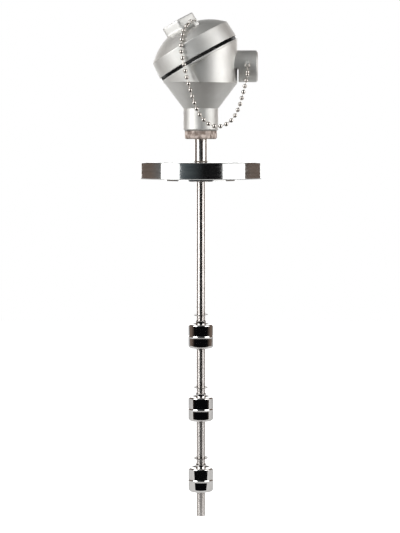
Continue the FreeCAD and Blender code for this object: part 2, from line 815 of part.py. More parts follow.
def make_chain():
    """Ball chain between the lid and the conduit boss, with a split ring and a clasp at each end."""
    ring = value("split_ring_radius")
    lid_up = on_lid(0, 0, 1) - on_lid(0, 0, 0)
    lid_round, lid_out = lug_ways()
    hang = (lid_round * RING_LEAN[0] + lid_up * RING_LEAN[1]).normalize()
    keep_solids("lid_chain_ring", [split_ring(lug_hole() + hang * ring, hang.cross(lid_out))])
    lean = (on_lid(*CLASP_LEAN) - on_lid(0, 0, 0)).normalize()
    eye_axis = (lid_out - lean * lid_out.dot(lean)).normalize()
    lid_clasp, chain_start = clasp(lug_hole() + hang * 2 * ring, lean, eye_axis)
    keep_solids("lid_chain_clasp", [lid_clasp])

    eye = Vector(value("eye_place"), -value("eye_front"), value(f"{BOSS} + eye_above_boss"))
    down = Vector(0, 0, -1)
    keep_solids("boss_chain_ring", [split_ring(eye + down * ring, Vector(0, 1, 0))])
    boss_clasp, chain_end = clasp(eye + down * 2 * ring, down, Vector(1, 0, 0))
    keep_solids("boss_chain_clasp", [boss_clasp])

    reach = bead_reach()
    line = Part.BSplineCurve()
    points = [chain_start + lean * reach]
    points += [Vector(x, -value(f"{LID} / 2") - front, up) for x, front, up in CHAIN_ROUTE]
    points += [chain_end + down * reach]
    line.interpolate(points)
    edge = line.toShape()
    count = round(edge.Length / value("bead_pitch"))
    spots = edge.discretize(Number=count + 1)
    solids = []
    for i, spot in enumerate(spots):
        ahead = spots[min(i + 1, count)] - spots[max(i - 1, 0)]
        if i == 0:
            ahead = lean
        if i == count:
            ahead = down
        solids.append(bead(spot, ahead.normalize()))
    pins = [link_pin(start, end) for start, end in zip(spots, spots[1:])]
    keep_solids("bead_chain", [solids[0].fuse(solids[1:] + pins)])
    print("chain", round(edge.Length, 1), "mm,", len(spots), "beads, from", spots[0], "to", spots[-1])


def make_terminals():
    """Terminal block on its pillars, with clamping plates, screws and the earth screw."""
    disc = place_upright(cylinder("block_diameter", BLOCK_BASE, BLOCK_TOP))
    middle = cylinder("block_hole_diameter", f"{BLOCK_BASE} - {OVERRUN}", f"{BLOCK_TOP} + {OVERRUN}")
    holes = [middle]
    post_hole = "(pillar_screw_diameter + 2 * screw_clearance)"
    for side in (-1, 1):
        place = ("0", f"{side} * pillar_circle / 2")
        bar = cylinder(post_hole, f"{BLOCK_BASE} - {OVERRUN}", f"{BLOCK_TOP} + {OVERRUN}")
        holes.append(place_upright(bar, *place))
    plates = []
    screws = []
    for number in range(int(value("terminal_count"))):
        angle = f"(45 + 360 / terminal_count * {number})"
        spot = (f"terminal_circle / 2 * cos({angle})", f"terminal_circle / 2 * sin({angle})")
        plate = prism(
            rectangle("-plate_length / 2", "plate_length / 2", "-plate_width / 2", "plate_width / 2"),
            BLOCK_TOP,
            PLATE_TOP,
        )
        place_upright(plate, *spot)
        plate_hole = place_upright(
            cylinder(
                "terminal_screw_diameter + 2 * screw_clearance",
                f"{BLOCK_TOP} - {OVERRUN}",
                f"{PLATE_TOP} + {OVERRUN}",
            ),
            *spot,
        )
        plates.append(cut(plate, plate_hole))
        screws.append(screw(
            "terminal_screw_diameter", "terminal_head_diameter", "terminal_head_height",
            f"{PLATE_TOP} - terminal_screw_length", PLATE_TOP, spot,
        ))
        thread = cylinder(
            "terminal_screw_diameter",
            f"{PLATE_TOP} - terminal_screw_length",
            f"{BLOCK_TOP} + {OVERRUN}",
        )
        holes.append(place_upright(thread, *spot))
    keep("terminal_block", cut(disc, *holes))
    keep("terminal_plates", group(plates))
    keep("terminal_screws", group(screws))

    pillar_screws = [
        screw(
            "pillar_screw_diameter", "pillar_head_diameter", "pillar_head_height",
            f"{BLOCK_TOP} - pillar_screw_length", BLOCK_TOP, ("0", f"{side} * pillar_circle / 2"),
        )
        for side in (-1, 1)
    ]
    keep("block_screws", group(pillar_screws))
    earth_seat = f"({BLOCK_BASE} + earth_washer_thickness)"
    keep("earth_screw", screw(
        "earth_screw_diameter", "earth_head_diameter", "earth_head_height",
        f"{BLOCK_BASE} - earth_screw_length", earth_seat, (EARTH_PLACE, "0"),
    ))
    keep("earth_washer", place_upright(
        tube("earth_washer_diameter / 2", "earth_screw_diameter / 2", BLOCK_BASE, earth_seat),
        EARTH_PLACE,
    ))


def screw(shank, head, head_height, tip, seat, spot):
    """A pan-head screw with a slot, standing on its seat."""
    body = turned([
        ("0", tip),
        (f"{shank} / 2", tip),
        (f"{shank} / 2", seat),
        (f"{head} / 2", seat),
        (f"{head} / 2", f"{seat} + {head_height} - screw_head_break"),
        (f"{head} / 2 - screw_head_break", f"{seat} + {head_height}"),
        ("0", f"{seat} + {head_height}"),
    ])
    slot = prism(
        rectangle(f"-{head}", head, "-screw_slot_width / 2", "screw_slot_width / 2"),
        f"{seat} + {head_height} - screw_slot_depth",
        f"{seat} + {head_height} + {OVERRUN}",
    )
    return place_upright(cut(body, slot), *spot)


def group(things):
    """Like pieces kept together as separate solids."""
    compound = doc.addObject("Part::Compound", inner_name())
    compound.Links = list(things)
    return compound


def make_grommet():
    """Rubber ring on the bushing's spigot that the wires pass through."""
    keep("wire_grommet", tube(
        "pipe_bore_diameter / 2", "grommet_bore / 2", SPIGOT_TOP, f"{SPIGOT_TOP} + grommet_thickness"
    ))


def ring_levels():
    """Underside heights of the lower and upper stop ring of each float, with their names."""
    for level, rest in reversed(FLOAT_REST.items()):
        above = f"({rest} + float_height + sleeve_rise + float_travel)"
        yield level, f"({rest} - ring_thickness)", above


def make_stem():
    """Thin stem tube with its collar, end plug and ring grooves, and the stop rings."""
    outer = "(stem_diameter / 2)"
    corners = [(STEM_BORE, "-stem_length"), (outer, "-stem_length")]
    for level, lower, upper in reversed(list(ring_levels())):
        for base in (lower, upper):
            corners += [
                (outer, base),
                (f"{outer} - ring_groove", base),
                (f"{outer} - ring_groove", f"{base} + ring_thickness"),
                (outer, f"{base} + ring_thickness"),
            ]
    corners += [(outer, RISER_BASE), (STEM_BORE, RISER_BASE)]
    keep("stem_tube", turned(corners))
    keep("stem_end_plug", cylinder(
        f"(2 * {STEM_BORE})", "-stem_length", "-stem_length + end_plug_thickness"
    ))
    keep("stem_collar", turned([
        (outer, "-stem_collar_height"),
        ("stem_collar_diameter / 2 - stem_collar_break", "-stem_collar_height"),
        ("stem_collar_diameter / 2", "-stem_collar_height + stem_collar_break"),
        ("stem_collar_diameter / 2", "stem_collar_seat"),
        (outer, "stem_collar_seat"),
    ]))
    for level, lower, upper in ring_levels():
        for name, base in (("lower", lower), ("upper", upper)):
            disc = tube("ring_diameter / 2", f"({outer} - ring_groove)", base, f"{base} + ring_thickness")
            gap = prism(
                rectangle("-ring_gap_width / 2", "ring_gap_width / 2", "0", "ring_diameter"),
                f"{base} - {OVERRUN}",
                f"{base} + ring_thickness + {OVERRUN}",
            )
            keep(f"{name}_stop_ring_{level}", cut(disc, gap))


def make_float(level):
    """One hollow float: two pressed half shells, the tube through its middle and a ring magnet."""
    rest = FLOAT_REST[level]
    outer = "(float_diameter / 2)"
    inner = f"({outer} - float_shell)"
    sleeve = "(sleeve_bore / 2 + sleeve_wall)"
    seam = "float_seam_height"
    top = "float_height"

    lower = turned([
        (sleeve, "0"),
        (f"{outer} - float_corner", "0", "float_corner"),
        (outer, "float_corner"),
        (outer, f"{seam} - float_seam_width / 2"),
        (f"{outer} + float_seam_proud", seam),
        (inner, seam),
        (inner, "float_corner", "-(float_corner - float_shell)"),
        (f"{outer} - float_corner", "float_shell"),
        (sleeve, "float_shell"),
    ])
    upper = turned([
        (inner, seam),
        (f"{outer} + float_seam_proud", seam),
        (outer, f"{seam} + float_seam_width / 2"),
        (outer, f"{top} - float_corner", "float_corner"),
        (f"{outer} - float_corner", top),
        (sleeve, f"{top} - float_dish"),
        (sleeve, f"{top} - float_dish - float_shell"),
        (f"{outer} - float_corner", f"{top} - float_shell", "-(float_corner - float_shell)"),
        (inner, f"{top} - float_corner"),
    ])
    sleeve_top = f"({top} + sleeve_rise)"
    sleeve_tube = turned([
        ("sleeve_bore / 2", "0"),
        (sleeve, "0"),
        (sleeve, f"{sleeve_top} - sleeve_flare_height"),
        (f"{sleeve} + sleeve_flare", sleeve_top),
        (f"sleeve_bore / 2 + sleeve_flare", sleeve_top),
        ("sleeve_bore / 2", f"{sleeve_top} - sleeve_flare_height"),
    ])
    magnet = tube(
        f"({sleeve} + magnet_wall)", sleeve, "float_shell", "float_shell + magnet_height"
    )
    for name, piece in (
        ("lower_shell", lower),
        ("upper_shell", upper),
        ("sleeve", sleeve_tube),
        ("magnet", magnet),
    ):
        keep(f"float_{level}_{name}", place_upright(piece, z=rest))


def make_switches():
    """Reed switches on a carrier strip inside the stem, one at each float's working height."""
    keep("reed_carrier", prism(
        rectangle(
            "-carrier_width / 2", "carrier_width / 2", "carrier_back", "carrier_back + carrier_thickness"
        ),
        "-stem_length + end_plug_thickness",
        RISER_BASE,
    ))
    for level, rest in FLOAT_REST.items():
        end = "(reed_length / 2)"
        glass = "(reed_diameter / 2)"
        lead = "(reed_lead_diameter / 2)"
        body = turned([
            ("0", f"-{end} - reed_lead_length"),
            (lead, f"-{end} - reed_lead_length"),
            (lead, f"-{end}"),
            ("reed_end_diameter / 2", f"-{end}"),
            (glass, f"-{end} + reed_taper"),
            (glass, f"{end} - reed_taper"),
            ("reed_end_diameter / 2", end),
            (lead, end),
            (lead, f"{end} + reed_lead_length"),
            ("0", f"{end} + reed_lead_length"),
        ])
        place_upright(body, "0", "-reed_front", f"{rest} + float_shell + magnet_height / 2")
        keep(f"reed_switch_{level}", body)


def make_wires():
    """Insulated wires from the switches up the stem and out to the terminals."""
    radius = value("wire_diameter / 2")
    bend = value("wire_bend")
    level = value(f"{PLATE_TOP} + wire_diameter")
    off_axis = value(f"{STEM_BORE} - wire_diameter / 2 - wire_wall_room")
    for name, turn, switch, number in WIRES:
        start = value(f"{FLOAT_REST[switch]} + float_shell + magnet_height / 2 + reed_length / 2")
        x = off_axis * math.cos(math.radians(turn))
        y = off_axis * math.sin(math.radians(turn))
        angle = math.radians(45 + 360 / value("terminal_count") * number)
        reach = value("terminal_circle / 2 - terminal_head_diameter / 2 - wire_diameter")
        target = Vector(reach * math.cos(angle), reach * math.sin(angle), level)
        foot = Vector(x, y, start)
        top = Vector(x, y, level)
        out = (target - top).normalize()
        arc_start = top - Vector(0, 0, bend)
        arc_end = top + out * bend
        middle = arc_start + out * bend + (Vector(0, 0, 1) - out).normalize() * bend
        path = Part.Wire([
            Part.LineSegment(foot, arc_start).toShape(),
            Part.Arc(arc_start, middle, arc_end).toShape(),
            Part.LineSegment(arc_end, target).toShape(),
        ])
        ring = Part.Wire(Part.makeCircle(radius, foot, Vector(0, 0, 1)))
        solid = path.makePipeShell([ring], True, True)
        print(name, round(path.Length, 1), "mm, volume ratio",
              round(solid.Volume / (math.pi * radius * radius * path.Length), 3))
        keep_solids(name, [solid])


make_flange()
make_riser_and_bushing()
make_head_body()
make_gasket()
make_lid()
make_chain()
make_terminals()
make_grommet()
make_stem()
for float_level in FLOAT_REST:
    make_float(float_level)
make_switches()
make_wires()
doc.recompute()

for thing in doc.Objects:
    if "Invalid" in thing.State or "Error" in thing.State:
        raise RuntimeError(f"{thing.Label} failed: {thing.State}")
for thing in sub_parts:
    if thing.Shape.isNull() or not thing.Shape.isValid():
        raise RuntimeError(f"{thing.Label} has no valid shape")
os.makedirs("parts", exist_ok=True)
for thing in sub_parts:
    thing.Shape.exportStep(f"parts/{thing.Label}.step")
print(len(sub_parts), "sub-parts written")
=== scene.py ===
import json
import math

import bpy
import numpy as np
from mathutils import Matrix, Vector


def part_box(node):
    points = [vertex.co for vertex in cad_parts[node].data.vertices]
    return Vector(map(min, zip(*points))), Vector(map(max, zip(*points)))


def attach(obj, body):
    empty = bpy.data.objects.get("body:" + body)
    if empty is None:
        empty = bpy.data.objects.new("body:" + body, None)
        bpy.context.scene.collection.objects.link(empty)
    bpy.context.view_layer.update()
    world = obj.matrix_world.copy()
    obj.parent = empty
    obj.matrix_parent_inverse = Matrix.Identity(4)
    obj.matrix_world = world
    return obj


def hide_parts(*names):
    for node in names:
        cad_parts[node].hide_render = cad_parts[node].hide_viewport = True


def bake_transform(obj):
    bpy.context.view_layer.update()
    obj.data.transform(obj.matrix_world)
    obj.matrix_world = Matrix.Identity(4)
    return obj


# A level switch with a slanted cast head, a flange and three polished floats on a long stem.
# Lengths in the dictionaries are millimetres, and everything in the scene is metres.

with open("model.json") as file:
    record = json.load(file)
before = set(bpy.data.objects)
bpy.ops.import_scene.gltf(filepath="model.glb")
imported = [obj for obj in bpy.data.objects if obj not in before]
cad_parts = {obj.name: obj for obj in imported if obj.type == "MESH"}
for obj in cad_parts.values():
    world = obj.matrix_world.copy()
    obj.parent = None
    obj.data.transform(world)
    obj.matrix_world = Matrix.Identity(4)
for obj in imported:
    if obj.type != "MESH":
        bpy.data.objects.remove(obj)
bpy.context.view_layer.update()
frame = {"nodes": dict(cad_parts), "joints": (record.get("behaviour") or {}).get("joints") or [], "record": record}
nodes = frame["nodes"]
mm = 0.001
lidJoint = next(joint for joint in frame["joints"] if joint["name"] == "lid_turn")
lidUp = np.array(lidJoint["axis"])
lidAcross = np.cross((0, 1, 0), lidUp)
lidOrigin = np.array(lidJoint["pos_m"])
print("frame loaded:", len(nodes), "nodes")


# Helpers for surfaces

def gridMesh(points, closeRows=False, closeColumns=True, capEnds=False):
    # Quads between neighbouring rows and columns of a grid of points. A closed grid wraps round,
    # and capEnds shuts the first and the last row with a fan about the middle of the row.
    rows, columns = points.shape[:2]
    index = np.arange(rows * columns).reshape(rows, columns)
    if closeRows:
        index = np.vstack([index, index[:1]])
    if closeColumns:
        index = np.hstack([index, index[:, :1]])
    quads = np.stack([index[:-1, :-1], index[1:, :-1], index[1:, 1:], index[:-1, 1:]], -1).reshape(-1, 4)
    flat = points.reshape(-1, 3)
    faces = quads.tolist()
    if capEnds:
        for row, flip in ((index[0], False), (index[-1], True)):
            middle = len(flat)
            flat = np.vstack([flat, flat[row[:-1]].mean(axis=0)])
            fan = np.stack([np.full(len(row) - 1, middle), row[:-1], row[1:]], -1)
            faces += (fan[:, ::-1] if flip else fan).tolist()
    return flat, faces


def outward(points, faces):
    # Turns every face round when the closed surface's signed volume is negative.
    triangles = np.array([[f[0], f[i], f[i + 1]] for f in faces for i in range(1, len(f) - 1)])
    a, b, c = (points[triangles[:, i]] for i in range(3))
    if np.einsum("ij,ij->i", a, np.cross(b, c)).sum() < 0:
        return [face[::-1] for face in faces]
    return faces


def addPiece(name, surfaces, material, body, replaced=(), scale=mm):
    # One object from one or more closed surfaces, given in millimetres.
    points, faces = [], []
    count = 0
    for surfacePoints, surfaceFaces in surfaces:
        faces += [[corner + count for corner in face] for face in outward(surfacePoints, surfaceFaces)]
        points.append(surfacePoints)
        count += len(surfacePoints)
    mesh = bpy.data.meshes.new(name)
    mesh.from_pydata((np.vstack(points) * scale).tolist(), [], faces)
    mesh.shade_smooth()
    mesh.set_sharp_from_angle(angle=math.radians(35))
    mesh.materials.append(material)
    piece = bpy.data.objects.new(name, mesh)
    bpy.context.scene.collection.objects.link(piece)
    if body:
        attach(piece, body)
    if replaced:
        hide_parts(*replaced)
    return piece


def softened(corners, steps=6):
    # A profile of (radius, height, rounding) corners. Each corner becomes a parabola between two
    # points that lie a rounding away from it, or less where its edges are short.
    corners = np.array(corners, float)
    before = np.roll(corners, 1, axis=0)
    after = np.roll(corners, -1, axis=0)
    pieces = []
    for here, last, following in zip(corners, before, after):
        if here[2] == 0:
            pieces.append(here[None, :2])
            continue
        into, out = last[:2] - here[:2], following[:2] - here[:2]
        reach = min(here[2], 0.45 * np.linalg.norm(into), 0.45 * np.linalg.norm(out))
        start = here[:2] + into / np.linalg.norm(into) * reach
        end = here[:2] + out / np.linalg.norm(out) * reach
        t = np.linspace(0, 1, steps)[:, None]
        pieces.append((1 - t) ** 2 * start + 2 * t * (1 - t) * here[:2] + t ** 2 * end)
    return np.vstack(pieces)


def held(profile, closeness=0.12):
    # Two more points on each long edge of a closed profile, near its ends, so that smooth shading
    # bends only at the corners and the wall between them stays true.
    following = np.roll(profile, -1, axis=0)
    length = np.linalg.norm(following - profile, axis=1)
    pieces = []
    for here, there, run in zip(profile, following, length):
        pieces.append(here[None])
        if run > 4 * closeness:
            share = np.array([[closeness / run], [1 - closeness / run]])
            pieces.append(here + (there - here) * share)
    return np.vstack(pieces)


def wound(radius, turn, height):
    # Points at the given radii, turns and heights about the upright axis.
    return np.stack(np.broadcast_arrays(radius * np.cos(turn), radius * np.sin(turn), height), -1)


def spun(profile, columns):
    # A profile of (radius, height) turned about the upright axis.
    return wound(profile[:, :1], np.linspace(0, 2 * math.pi, columns, endpoint=False), profile[:, 1:2])


def rounded(profile, other, power):
    # The smaller of two polar outlines, with a rounding where they cross that a larger power makes
    # tighter: (a to the minus power, plus b to the minus power), to the power of minus 1 / power.
    return (profile ** -power + other ** -power) ** (-1 / power)


def hexOutline(turn, flats, worn, power):
    # The polar outline of a hexagon across its flats, whose corners are worn down to a circle.
    side = flats / 2 / np.cos(turn % (math.pi / 3) - math.pi / 6)
    return rounded(side, worn, power)


def onLid(points):
    # Points given along, across and up the lid, moved to the slanted lid.
    return lidOrigin / mm + points @ np.array([lidAcross, (0, 1, 0), lidUp])


# Helpers for materials

def linear(hexText):
    # An sRGB hex colour as linear red, green, blue and alpha.
    channels = np.array([int(hexText[i:i + 2], 16) for i in (0, 2, 4)]) / 255
    low, high = channels / 12.92, ((channels + 0.055) / 1.055) ** 2.4
    return (*np.where(channels <= 0.04045, low, high), 1)


def addNode(tree, kind, sockets=None, **settings):
    # Any node, with its settings, and its sockets' values or links.
    node = tree.nodes.new(kind)
    for key, setting in settings.items():
        setattr(node, key, setting)
    for socket, given in (sockets or {}).items():
        if isinstance(given, bpy.types.NodeSocket):
            tree.links.new(given, node.inputs[socket])
        else:
            node.inputs[socket].default_value = given
    return node


def newMaterial(name):
    material = bpy.data.materials.new(name)
    material.use_nodes = True
    material.node_tree.nodes.clear()
    return material, material.node_tree


def finishMaterial(tree, tone, roughness, reliefs=(), normal=None, **sockets):
    # The principled shader and the output. The tone is a pattern and the colours it goes between,
    # the roughness a pattern and two values. A relief is a pattern, its full height in millimetres
    # and how strongly it shows. A pattern goes from its low end at 0.3 to its high end at 0.7,
    # unless the tone says otherwise.
    pattern, low, high, *span = tone
    colour = addNode(tree, "ShaderNodeValToRGB", {"Fac": pattern})
    for stop, position, hexText in zip(colour.color_ramp.elements, span or (0.3, 0.7), (low, high)):
        stop.position = position
        stop.color = linear(hexText)
    pattern, low, high = roughness
    dull = addNode(tree, "ShaderNodeMapRange", {
        "Value": pattern, "From Min": 0.3, "From Max": 0.7, "To Min": low, "To Max": high,
    })
    for pattern, height, strength in reliefs:
        relief = {"Height": pattern, "Distance": height * mm, "Strength": strength}
        if normal:
            relief["Normal"] = normal
        normal = addNode(tree, "ShaderNodeBump", relief).outputs["Normal"]
    if normal:
        sockets["Normal"] = normal
    named = {key.replace("_", " "): given for key, given in sockets.items()}
    named |= {"Base Color": colour.outputs["Color"], "Roughness": dull.outputs["Result"]}
    shader = addNode(tree, "ShaderNodeBsdfPrincipled", named)
    addNode(tree, "ShaderNodeOutputMaterial", {"Surface": shader.outputs[0]})


def spotsOf(tree, grain, detail=3, stretch=(1, 1, 1)):
    # A pattern of soft spots about one grain wide, in millimetres, divided by the stretch each way.
    place = addNode(tree, "ShaderNodeTexCoord").outputs["Object"]
    mapped = addNode(tree, "ShaderNodeMapping", {"Vector": place, "Scale": stretch})
    return addNode(
        tree, "ShaderNodeTexNoise",
        {"Vector": mapped.outputs[0], "Scale": 1 / (grain * mm), "Detail": detail, "Roughness": 0.55},
    ).outputs["Fac"]


# Materials

# The castings' edges, rounded a little. The valley where the slanted collar meets the upright
# barrel lies near a plane square to lidAcross, and there the rounding fades out, since it would show
# as a bright line. Radii are millimetres, and the rest is metres.
castEdge = {"radius": 0.7, "valleyRadius": 0.02, "valley": 0.0477, "near": 0.003, "far": 0.004}


def castAluminium():
    # Die-cast aluminium, skimmed on a lathe and tumbled: satin, with a fine even grain, faint rings
    # from the tool and slightly browner patches.
    material, tree = newMaterial("satinCastAluminium")
    patches = spotsOf(tree, 26, 4)
    grain = spotsOf(tree, 1.1, 2)
    rings = spotsOf(tree, 0.9, 1, stretch=(0.01, 0.01, 1))
    fromValley = addNode(tree, "ShaderNodeMapping", {
        "Vector": addNode(tree, "ShaderNodeTexCoord").outputs["Object"],
        "Location": (-castEdge["valley"], 0, 0), "Rotation": (0, math.asin(-lidUp[0]), 0),
    }, vector_type="POINT")
    across = addNode(tree, "ShaderNodeSeparateXYZ", {0: fromValley.outputs[0]})
    distance = addNode(tree, "ShaderNodeMath", {0: across.outputs["X"]}, operation="ABSOLUTE")
    edgeRadius = addNode(tree, "ShaderNodeMapRange", {
        "Value": distance.outputs[0], "From Min": castEdge["near"], "From Max": castEdge["far"],
        "To Min": castEdge["valleyRadius"] * mm, "To Max": castEdge["radius"] * mm,
    })
    soft = addNode(tree, "ShaderNodeBevel", {"Radius": edgeRadius.outputs["Result"]}, samples=8)
    finishMaterial(
        tree, tone=(patches, "DAD9D5", "E8E7E4"), roughness=(grain, 0.52, 0.60),
        reliefs=((grain, 0.05, 0.5), (rings, 0.03, 0.35)), normal=soft.outputs[0], Metallic=1.0,
    )
    return material


def nitrileRubber():
    # Black nitrile rubber, moulded smooth: black, with a wet-looking sheen along its ribs.
    material, tree = newMaterial("blackNitrileRubber")
    bloom = spotsOf(tree, 3, 3)
    finishMaterial(
        tree, tone=(bloom, "040404", "0C0C0B"), roughness=(bloom, 0.22, 0.34), Specular_IOR_Level=0.9,
    )
    return material


def platedIron():
    # Zinc-plated malleable iron: sand-cast skin that is dull grey-brown with lighter high spots.
    material, tree = newMaterial("platedMalleableIron")
    blotch = spotsOf(tree, 4.5, 5)
    sand = spotsOf(tree, 0.8, 4)
    finishMaterial(
        tree, tone=(blotch, "8A7A71", "DACCC3", 0.38, 0.62), roughness=(sand, 0.45, 0.7),
        reliefs=((sand, 0.25, 0.8),), Metallic=0.4,
    )
    return material


def groundStainless():
    # Stainless tube, centreless ground: its marks run round it, too fine to be seen one by one, and
    # smear lights along its length. Draw lines along it make it slightly duller in streaks.
    material, tree = newMaterial("groundStainless")
    marks = spotsOf(tree, 1.2, 2, stretch=(1, 1, 0.01))
    stain = spotsOf(tree, 14, 3)
    around = addNode(tree, "ShaderNodeTangent", direction_type="RADIAL", axis="Z")
    finishMaterial(
        tree, tone=(stain, "D6CFCA", "E6E1DD"), roughness=(marks, 0.24, 0.27), Metallic=1.0,
        Anisotropic=1.0, Anisotropic_Rotation=0.25, Tangent=around.outputs[0],
    )
    return material


def turnedStainless():
    # Stainless bar, faced and turned bright: close rings that smear lights across themselves. The
    # rings are drawn on the section, by the distance from the axis and the height.
    material, tree = newMaterial("turnedStainless")
    place = addNode(tree, "ShaderNodeTexCoord").outputs["Object"]
    flat = addNode(tree, "ShaderNodeVectorMath", {0: place, 1: (1, 1, 0)}, operation="MULTIPLY")
    outFrom = addNode(tree, "ShaderNodeVectorMath", {0: flat.outputs[0]}, operation="LENGTH")
    height = addNode(tree, "ShaderNodeSeparateXYZ", {0: place}).outputs["Z"]
    section = addNode(tree, "ShaderNodeCombineXYZ", {"X": outFrom.outputs["Value"], "Y": height})
    rings = addNode(
        tree, "ShaderNodeTexNoise",
        {"Vector": section.outputs[0], "Scale": 1 / (0.9 * mm), "Detail": 2, "Roughness": 0.6},
    ).outputs["Fac"]
    streaks = spotsOf(tree, 2.2, 3, stretch=(0.08, 0.08, 1))
    around = addNode(tree, "ShaderNodeTangent", direction_type="RADIAL", axis="Z")
    finishMaterial(
        tree, tone=(streaks, "C6C8C8", "DDDCDA"), roughness=(rings, 0.16, 0.22),
        reliefs=((rings, 0.004, 0.3),), Metallic=1.0, Anisotropic=0.95, Anisotropic_Rotation=0.25,
        Tangent=around.outputs[0],
    )
    return material


def weldedStainless():
    # A weld bead: bright stainless with straw and brown heat colour.
    material, tree = newMaterial("weldedStainless")
    heat = spotsOf(tree, 4, 3)
    finishMaterial(
        tree, tone=(heat, "9C8F80", "D8D2CA", 0.35, 0.6), roughness=(heat, 0.18, 0.34),
        reliefs=((spotsOf(tree, 0.7, 2), 0.05, 0.5),), Metallic=1.0,
    )
    return material


def polishedStainless():
    # Pressed stainless shell, mirror polished: sharp reflections that waver a little where the
    # sheet isn't quite true.
    material, tree = newMaterial("polishedStainless")
    waver = spotsOf(tree, 7, 2)
    finishMaterial(
        tree, tone=(waver, "E2DFDC", "EAE8E6"), roughness=(spotsOf(tree, 2, 3), 0.02, 0.06),
        reliefs=((waver, 0.05, 0.25),), Metallic=1.0,
    )
    return material


def springSteel():
    # Stamped spring steel with a dull roll finish.
    material, tree = newMaterial("stampedSpringSteel")
    grain = spotsOf(tree, 1.2, 3)
    finishMaterial(
        tree, tone=(grain, "8D8985", "B4B0AC"), roughness=(grain, 0.22, 0.38),
        reliefs=((grain, 0.02, 0.4),), Metallic=1.0,
    )
    return material


def nickelPlate():
    # Nickel plate on brass: bright and slightly warm, worn a little on the rubbing spots.
    material, tree = newMaterial("nickelPlatedBrass")
    worn = spotsOf(tree, 2.5, 3)
    finishMaterial(
        tree, tone=(worn, "CFC8C1", "E4DFDA"), roughness=(worn, 0.06, 0.16),
        reliefs=((worn, 0.02, 0.3),), Metallic=1.0,
    )
    return material


def plainMaterial(name, low, high, grain, roughness, depth=0.02, transmission=0.0):
    # The pieces inside: a two-tone skin with a grain of its own, slightly rougher on its light spots.
    material, tree = newMaterial(name)
    spots = spotsOf(tree, grain, 3)
    finishMaterial(
        tree, tone=(spots, low, high), roughness=(spots, roughness, roughness + 0.12),
        reliefs=((spots, depth, 0.4),), Transmission_Weight=transmission,
    )
    return material


aluminium = castAluminium()
rubber = nitrileRubber()
iron = platedIron()
ground = groundStainless()
turnedSteel = turnedStainless()
weld = weldedStainless()
mirror = polishedStainless()
spring = springSteel()
nickel = nickelPlate()
# sintered ferrite: dark grey, dull and finely pitted
ferrite = plainMaterial("sinteredFerrite", "1F1F21", "343436", 0.8, 0.6)
# moulded phenolic: black with a slight sheen
phenolic = plainMaterial("blackPhenolic", "141415", "222223", 1.5, 0.38)
# drawn soda glass, faintly green
reedGlass = plainMaterial("greenReedGlass", "9FB8A6", "B6CBBB", 6, 0.05, depth=0.005, transmission=0.9)
# extruded PVC insulation, one colour for each conductor
insulation = {
    "lead_top_switch": plainMaterial("redInsulation", "8E1B16", "A8241D", 3, 0.35),
    "lead_middle_switch": plainMaterial("blueInsulation", "173A7A", "1F4A94", 3, 0.35),
    "lead_bottom_switch": plainMaterial("yellowInsulation", "C79A18", "DDB02A", 3, 0.35),
    "lead_common": plainMaterial("blackInsulation", "101011", "1C1C1D", 3, 0.35),
}
slotMaterials = {
    "cast_aluminium": aluminium, "rubber_seal": rubber, "zinc_plated_iron": iron,
    "stainless_drawn": ground, "stainless_turned": turnedSteel, "stainless_weld": weld,
    "stainless_polished": mirror, "spring_steel": spring, "nickel_plated_brass": nickel,
    "ferrite_magnet": ferrite, "black_plastic": phenolic, "reed_glass": reedGlass,
}
for part in frame["record"]["subparts"]:
    chosen = insulation.get(part["node"]) or slotMaterials[part["material_slot"]]
    nodes[part["node"]].material_slots[0].material = chosen
print("materials made")


# Floats

levels = ("top", "middle", "bottom")
floatShape = {
    "diameter": 25.4, "height": 24.5, "corner": 2.6, "topCorner": 1.5, "dish": 1.3, "dishPower": 1.4,
    "wall": 0.6, "innerCornerIn": 0.6, "innerCornerUp": 1.5,
    "seamHeight": 11.6, "seamProud": 0.5, "seamReach": 1.3,
    "sleeveBore": 9.6, "sleeveWall": 0.4, "sleeveRise": 3.8, "flare": 0.5, "flareHeight": 1.5,
}


def seamCurve(away, shape):
    # The weld's swelling: half a cosine wave from its crest out to where the plain wall starts.
    along = np.clip(away / shape["seamReach"], 0, 1)
    return shape["seamProud"] * (0.5 + 0.5 * np.cos(math.pi * along))


